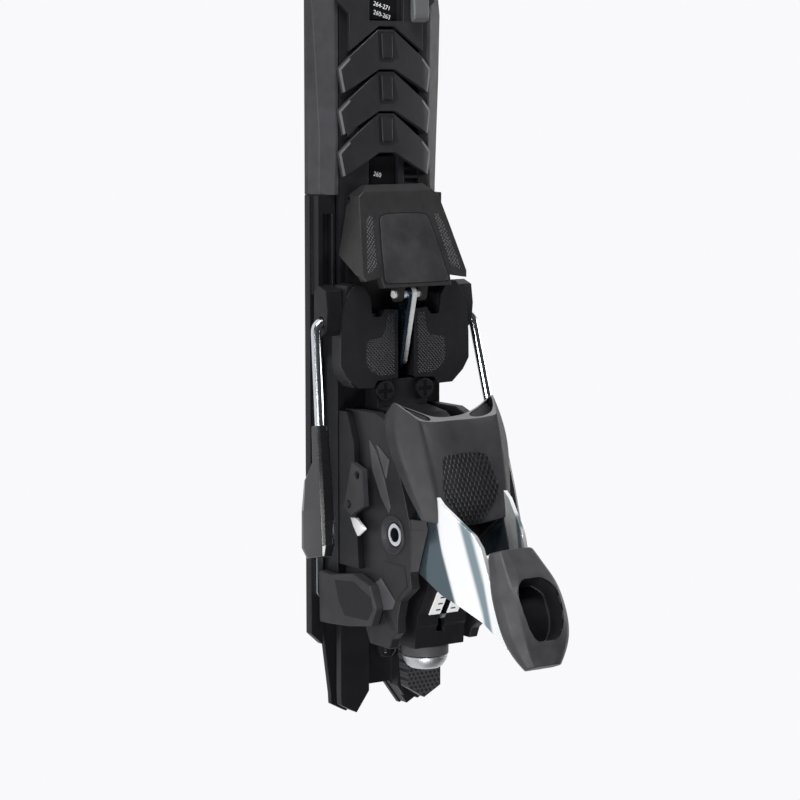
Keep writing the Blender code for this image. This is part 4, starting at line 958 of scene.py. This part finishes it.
# %% The chevron covers
def chevron(node):
    """One flexible cover: tilted, folded down at its tips, with painted highlights along its edges
    and a block on a painted shade.
    """
    low, high = [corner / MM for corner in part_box(node)]
    apex, top, bottom = low.x + 11.3, high.z, low.z
    plan = [(apex + 18.6, 4.4, top - 1.0), (apex + 6.1, 20.5, top - 0.8),
            (apex + 0.4, 26.7, top - 2.3), (apex - 11.3, 24.4, top - 1.5),
            (apex - 9.1, 20.5, top), (apex, 4.4, top)]
    points = plan + [(x, -y, z) for x, y, z in reversed(plan)]
    bm = bmesh.new()
    above = [bm.verts.new(Vector(p) * MM) for p in points]
    below = [bm.verts.new(Vector((x, y, bottom)) * MM) for x, y, _ in points]
    for group in ((1, 2, 3, 4), (0, 1, 4, 5), (0, 5, 6, 11), (6, 7, 10, 11), (7, 8, 9, 10)):
        bm.faces.new([above[i] for i in group])
    bm.faces.new(below[::-1])
    bands(bm, [above, below])
    outward(bm)
    rounded(bm, 0.45 * MM, 3, 20.0)
    cover = settle(to_piece(bm, node + "_shown", 30.0), node, BLACK)
    skin = surface_of(cover)
    # Pale strips along the folded edges of the tips are painted highlights.
    strip = [(apex + 5.4, 20.7), (apex + 0.2, 26.0), (apex - 10.6, 24.0), (apex - 10.4, 22.9),
             (apex - 0.2, 24.7), (apex + 4.6, 20.2)]
    for name, outline in (("left", strip), ("right", flipped(strip))):
        for k, part in enumerate((outline[:2] + outline[-2:], outline[1:5])):
            pad = draped("%s_edge_%s_%d" % (node, name, k), part, skin, lift=0.10, edge=0.15)
            trim(pad, node, PAINTED_EDGE_HIGHLIGHT)
    # A dark patch in front of the block is the painted shade of a hollow; no hollow is cut.
    room = [(apex + 17.6, 4.6), (apex + 4.2, 4.4), (apex + 3.4, 3.2), (apex + 3.4, -3.2),
            (apex + 4.2, -4.4), (apex + 5.4, -7.2), (apex + 17.6, -4.6)]
    trim(draped(node + "_room", room, skin, lift=0.10, edge=0.6), node, DARK_AND_PAINTED_SHADE)
    block = [(apex + 16.8, 3.2), (apex + 5.6, 2.9), (apex + 5.0, 2.2), (apex + 5.0, -2.2),
             (apex + 5.6, -2.9), (apex + 16.8, -3.2)]
    trim(draped(node + "_block", block, skin, lift=0.75, edge=0.7), node, SOFT_BLACK)


for number in (1, 2, 3):
    chevron("chevron_cover_%d" % number)
print("chevron covers", 3)

# %% [markdown]
# ## Front fairings
# A long moulding closes each side of the track, with a ridge that tapers towards the heel.
# It is straight between five cross-sections, so those are enough.

# %% The fairings
def fairing(side, name):
    """Front fairing with a long tapering ridge along its flank."""
    node = "front_fairing_" + name
    low, high = [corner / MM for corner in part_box(node)]
    stations = [(high.x, 36.3, 5.2, 27.4), (140.0, 36.1, 7.0, 27.2), (110.0, 34.8, 7.8, 26.8),
                (83.0, 33.3, 8.2, 26.2), (low.x - 0.24, 33.0, 7.2, 27.4)]
    bm = bmesh.new()
    rings = []
    for x, ridge, ridge_z, inner in stations:
        section = [(36.5, 0.0), (36.5, 2.5), (ridge, ridge_z), (inner, 12.0), (25.0, 12.0),
                   (25.0, 0.0)]
        rings.append([bm.verts.new(Vector((x, side * y, z)) * MM) for y, z in section])
    bands(bm, rings)
    bm.faces.new(rings[0])
    bm.faces.new(rings[-1])
    outward(bm)
    rounded(bm, 0.5 * MM, 3, 12.0)
    settle(to_piece(bm, node + "_shown", 30.0), node, FLANK_GREY)
    print(node, round((high.x - low.x), 1), "mm long")


for side, name in SIDES:
    fairing(side, name)

# %% [markdown]
# ## Release screw
# The release force is set with a big slotted screw at the rear: a dark collar and a bright
# domed cap. Both are turned parts, so a profile is spun round the screw's axis.

# %% The cap, its collar and its slot
CAP_AXIS = (0.0, 0.0, 46.7)
SLOT_BACK, SLOT_FRONT = -164.66, -164.5


def release_cap():
    """Dark collar and bright cap of the release screw."""
    collar = [(-157.9, 0.0), (-157.9, 10.9), (-157.5, 11.15), (-153.2, 11.15), (-152.9, 10.9),
              (-152.9, 0.0)]
    cap = [(-164.6, 0.0), (-164.6, 6.0), (-164.3, 7.2), (-163.3, 8.5), (-161.2, 9.9),
           (-159.6, 10.6),
           (-158.6, 10.75), (-158.2, 10.4), (-158.2, 0.0)]
    settle(turned("release_cap", cap, CAP_AXIS, "X", 64), "release_screw", CAP_SILVER)
    trim(turned("release_collar", collar, CAP_AXIS, "X", 64), "release_screw", GREY_BLACK_AND_PAINTED_LIGHT)
    # The slot is a dark plate on the cap's face: painted shade of a slot that is not cut.
    outline = [(-5.2, 45.9), (5.2, 45.9), (5.2, 47.5), (-5.2, 47.5)]
    slot = solid_from("release_cap_slot", [(SLOT_BACK, y, z) for y, z in outline],
                      [(SLOT_FRONT, y, z) for y, z in outline], 0.0)
    trim(slot, "release_screw", DARK_AND_PAINTED_SHADE)


release_cap()

# %% [markdown]
# ## Cheeks
# The housing's sides are faceted, with raised plates, grooves, a small wing beside the fork
# and a moulded ring round the hollow axle. The paler facets are painted light, and the grooves
# are dark pads, a painted shade. The facets could be cut into the side, but pads laid on it
# give the same steps and leave the node's outline as it is.

# %% The cheeks, their facets and the axle rings
AXLE = (-98.0, 0.0, 57.0)
RING_STEPS = 56


def cheek(side, name):
    """An outer cheek with raised facets in painted light, a ring round the axle and grooves in
    painted shade.
    """
    node = "housing_cheek_" + name
    piece = settle(refined(node, 0.7, 3), node, BLACK)
    skin = surface_of(piece)
    # The facet, blade and shoulder pads are a paler grey-black, painted light on faces turned to
    # the lamps; the groove pad is the darkest black, painted shade of a groove that is not cut.
    details = [("facet", [(-56.0, 38.0), (-61.0, 44.0), (-73.3, 50.6), (-85.0, 55.4), (-88.4, 54.2),
                          (-82.8, 48.4), (-68.9, 40.2)], 0.45, 0.8, GREY_BLACK_AND_PAINTED_LIGHT),
               ("blade", [(-57.6, 44.2), (-63.3, 54.4), (-72.4, 52.0)], 0.7, 0.9, GREY_BLACK_AND_PAINTED_LIGHT),
               ("plate", [(-111.0, 49.6), (-111.0, 66.4), (-120.0, 69.0), (-126.0, 62.0),
                          (-128.6, 60.0), (-119.8, 48.6)], 0.35, 0.8, BLACK),
               ("shoulder", [(-125.2, 38.4), (-119.4, 47.6), (-128.6, 59.4), (-132.6, 57.0),
                             (-136.0, 42.4)], 0.55, 1.0, GREY_BLACK_AND_PAINTED_LIGHT),
               ("groove", [(-133.6, 48.0), (-134.4, 54.0), (-142.0, 59.0), (-143.2, 55.6)],
                0.08, 0.3, DARK_AND_PAINTED_SHADE)]
    for part, outline, lift, edge, material in details:
        pad = draped("cheek_%s_%s" % (part, name), outline, skin, "Y", side, lift, edge)
        trim(pad, node, material)
    inside = [(-88.4, 66.0), (-88.9, 77.4), (-93.4, 78.6), (-113.4, 71.2), (-119.5, 70.8),
              (-119.5, 66.0)]
    outside = [(-88.4, 64.0), (-88.9, 69.9), (-93.4, 71.4), (-113.4, 70.6), (-119.5, 70.4),
               (-119.5, 66.0)]
    wing = solid_from("cheek_wing_" + name, [(x, side * 20.6, z) for x, z in inside],
                      [(x, side * 25.0, z) for x, z in outside], 0.4)
    trim(wing, node, BLACK)
    profile = [(side * y, r) for y, r in ((25.2, 9.3), (25.9, 9.1), (26.2, 8.6), (26.0, 8.0),
                                          (24.6, 7.2), (24.3, 5.9), (24.2, 9.3))]
    ring = turned("axle_ring_" + name, profile, AXLE, "Y", RING_STEPS, 50.0, True)
    trim(ring, node, EDGE_BLACK)
    print(node, "facets", len(details))


for side, name in SIDES:
    cheek(side, name)

# %% [markdown]
# ## Rear guards
# A faceted block guards each rear corner, well rounded by its mould, with a darker inset on
# its outer side. Only the edges and the inset are new.

# %% The guards
def guard(side, name):
    """A rear guard with its dark inset."""
    node = "rear_guard_" + name
    piece = settle(refined(node, 1.0, 3), node, EDGE_BLACK)
    outline = [(-123.6, 20.6), (-122.6, 35.0), (-128.6, 46.8), (-134.0, 48.2), (-139.4, 44.6),
               (-139.6, 28.0), (-134.1, 24.0)]
    inset = draped("guard_inset_" + name, outline, surface_of(piece), "Y", side, 0.12, 0.5)
    trim(inset, node, DARK_AND_PAINTED_SHADE)


for side, name in SIDES:
    guard(side, name)
print("guards", 2)

# %% [markdown]
# ## Brake claws
# A moulded claw on the end of each brake wire digs into the snow. It is blunt and a little
# glossy, with clear flat sides between wide round edges, so a wide bevel on a copy of the
# node is all it needs.

# %% The claws
for side, name in SIDES:
    node = "brake_claw_" + name
    settle(refined(node, 1.3, 4, 20.0, 60.0), node, CLAW)
print("claws", 2)

# %% [markdown]
# ## Numbers and strokes
# The two dark strips carry sole lengths in white print. An image would do it, but text made
# into a thin mesh stays sharp at any size. The pale window on the housing has plain strokes.

# %% Numbers of the scales
def mark(name, text, size, place, turn, node):
    """Raised numbers laid on a scale."""
    data = bpy.data.curves.new(name, "FONT")
    data.body = text
    data.size = size * MM
    data.extrude = 0.04 * MM
    data.align_x = "CENTER"
    writing = bpy.data.objects.new(name, data)
    bpy.context.collection.objects.link(writing)
    spin = Matrix.Rotation(math.radians(turn), 4, "Z")
    writing.matrix_world = Matrix.Translation(Vector(place) * MM) @ spin
    bpy.context.view_layer.update()
    seen = writing.evaluated_get(bpy.context.evaluated_depsgraph_get())
    made = bpy.data.meshes.new_from_object(seen)
    made.transform(writing.matrix_world)
    bpy.data.objects.remove(writing)
    made.name = name
    piece = bpy.data.objects.new(name, made)
    bpy.context.collection.objects.link(piece)
    piece.data.materials.clear()
    return trim(piece, node, INK)


mark("front_numbers_1", "264-271", 3.0, (143.0, 0.0, 10.66), -105.0, "front_scale")
mark("front_numbers_2", "260-263", 3.0, (138.9, 0.0, 10.66), -105.0, "front_scale")
mark("heel_numbers", "260", 3.0, (64.4, 2.2, 10.06), -102.0, "heel_scale")
print("numbers", 3)

# %% Strokes of the window
WINDOW_FOOT = (-136.6, 61.9)    # X and Z of the window's lower end
WINDOW_SLOPE = 0.608


def window_marks():
    """Plain strokes on the two pale strips of the release scale."""
    for side in (1, -1):
        for number, x in enumerate((-134.6, -131.4, -128.2)):
            line = [(x, 3.0), (x, 5.6), (x + 0.7, 5.6), (x + 0.7, 3.0)]
            height = [WINDOW_FOOT[1] + (a - WINDOW_FOOT[0]) * WINDOW_SLOPE for a, _ in line]
            low = [(a, side * b, z - 0.3) for (a, b), z in zip(line, height)]
            high = [(a, side * b, z + 0.06) for (a, b), z in zip(line, height)]
            trim(solid_from("window_mark_%d_%d" % (number, 1 if side > 0 else 2), low, high, 0.0),
                 "scale_window", DARK_AND_PAINTED_SHADE)


window_marks()
print("window strokes", 6)

# %% [markdown]
# ## All other pieces
# The plates, bars, pins, screws and levers that are left have the right form as they stand.
# They only lack the small radius of their edges, so each is copied and rounded by a width
# that suits its thickness. Wires and the coil are round already: only hard ends are eased.

# %% Copies with eased edges
WIDTH = 0.35       # common width of an eased edge, in mm
WIDTH_OF = {"rack_strip": 0.15, "scale_window": 0.15, "link_strip": 0.2, "indicator_tab": 0.2,
            "heel_carriage": 0.5, "heel_housing": 0.7}
ROUND = {"release_spring", "brake_wire_left", "brake_wire_right"}
for node in sorted(set(BODY_OF) - SHOWN):
    if node in ROUND:
        piece = refined(node, 0.1, 1, 60.0)
    else:
        piece = refined(node, WIDTH_OF.get(node, WIDTH))
    settle(piece, node, LOOK.get(node, BLACK))
print("nodes shown", len(SHOWN), "of", len(BODY_OF))
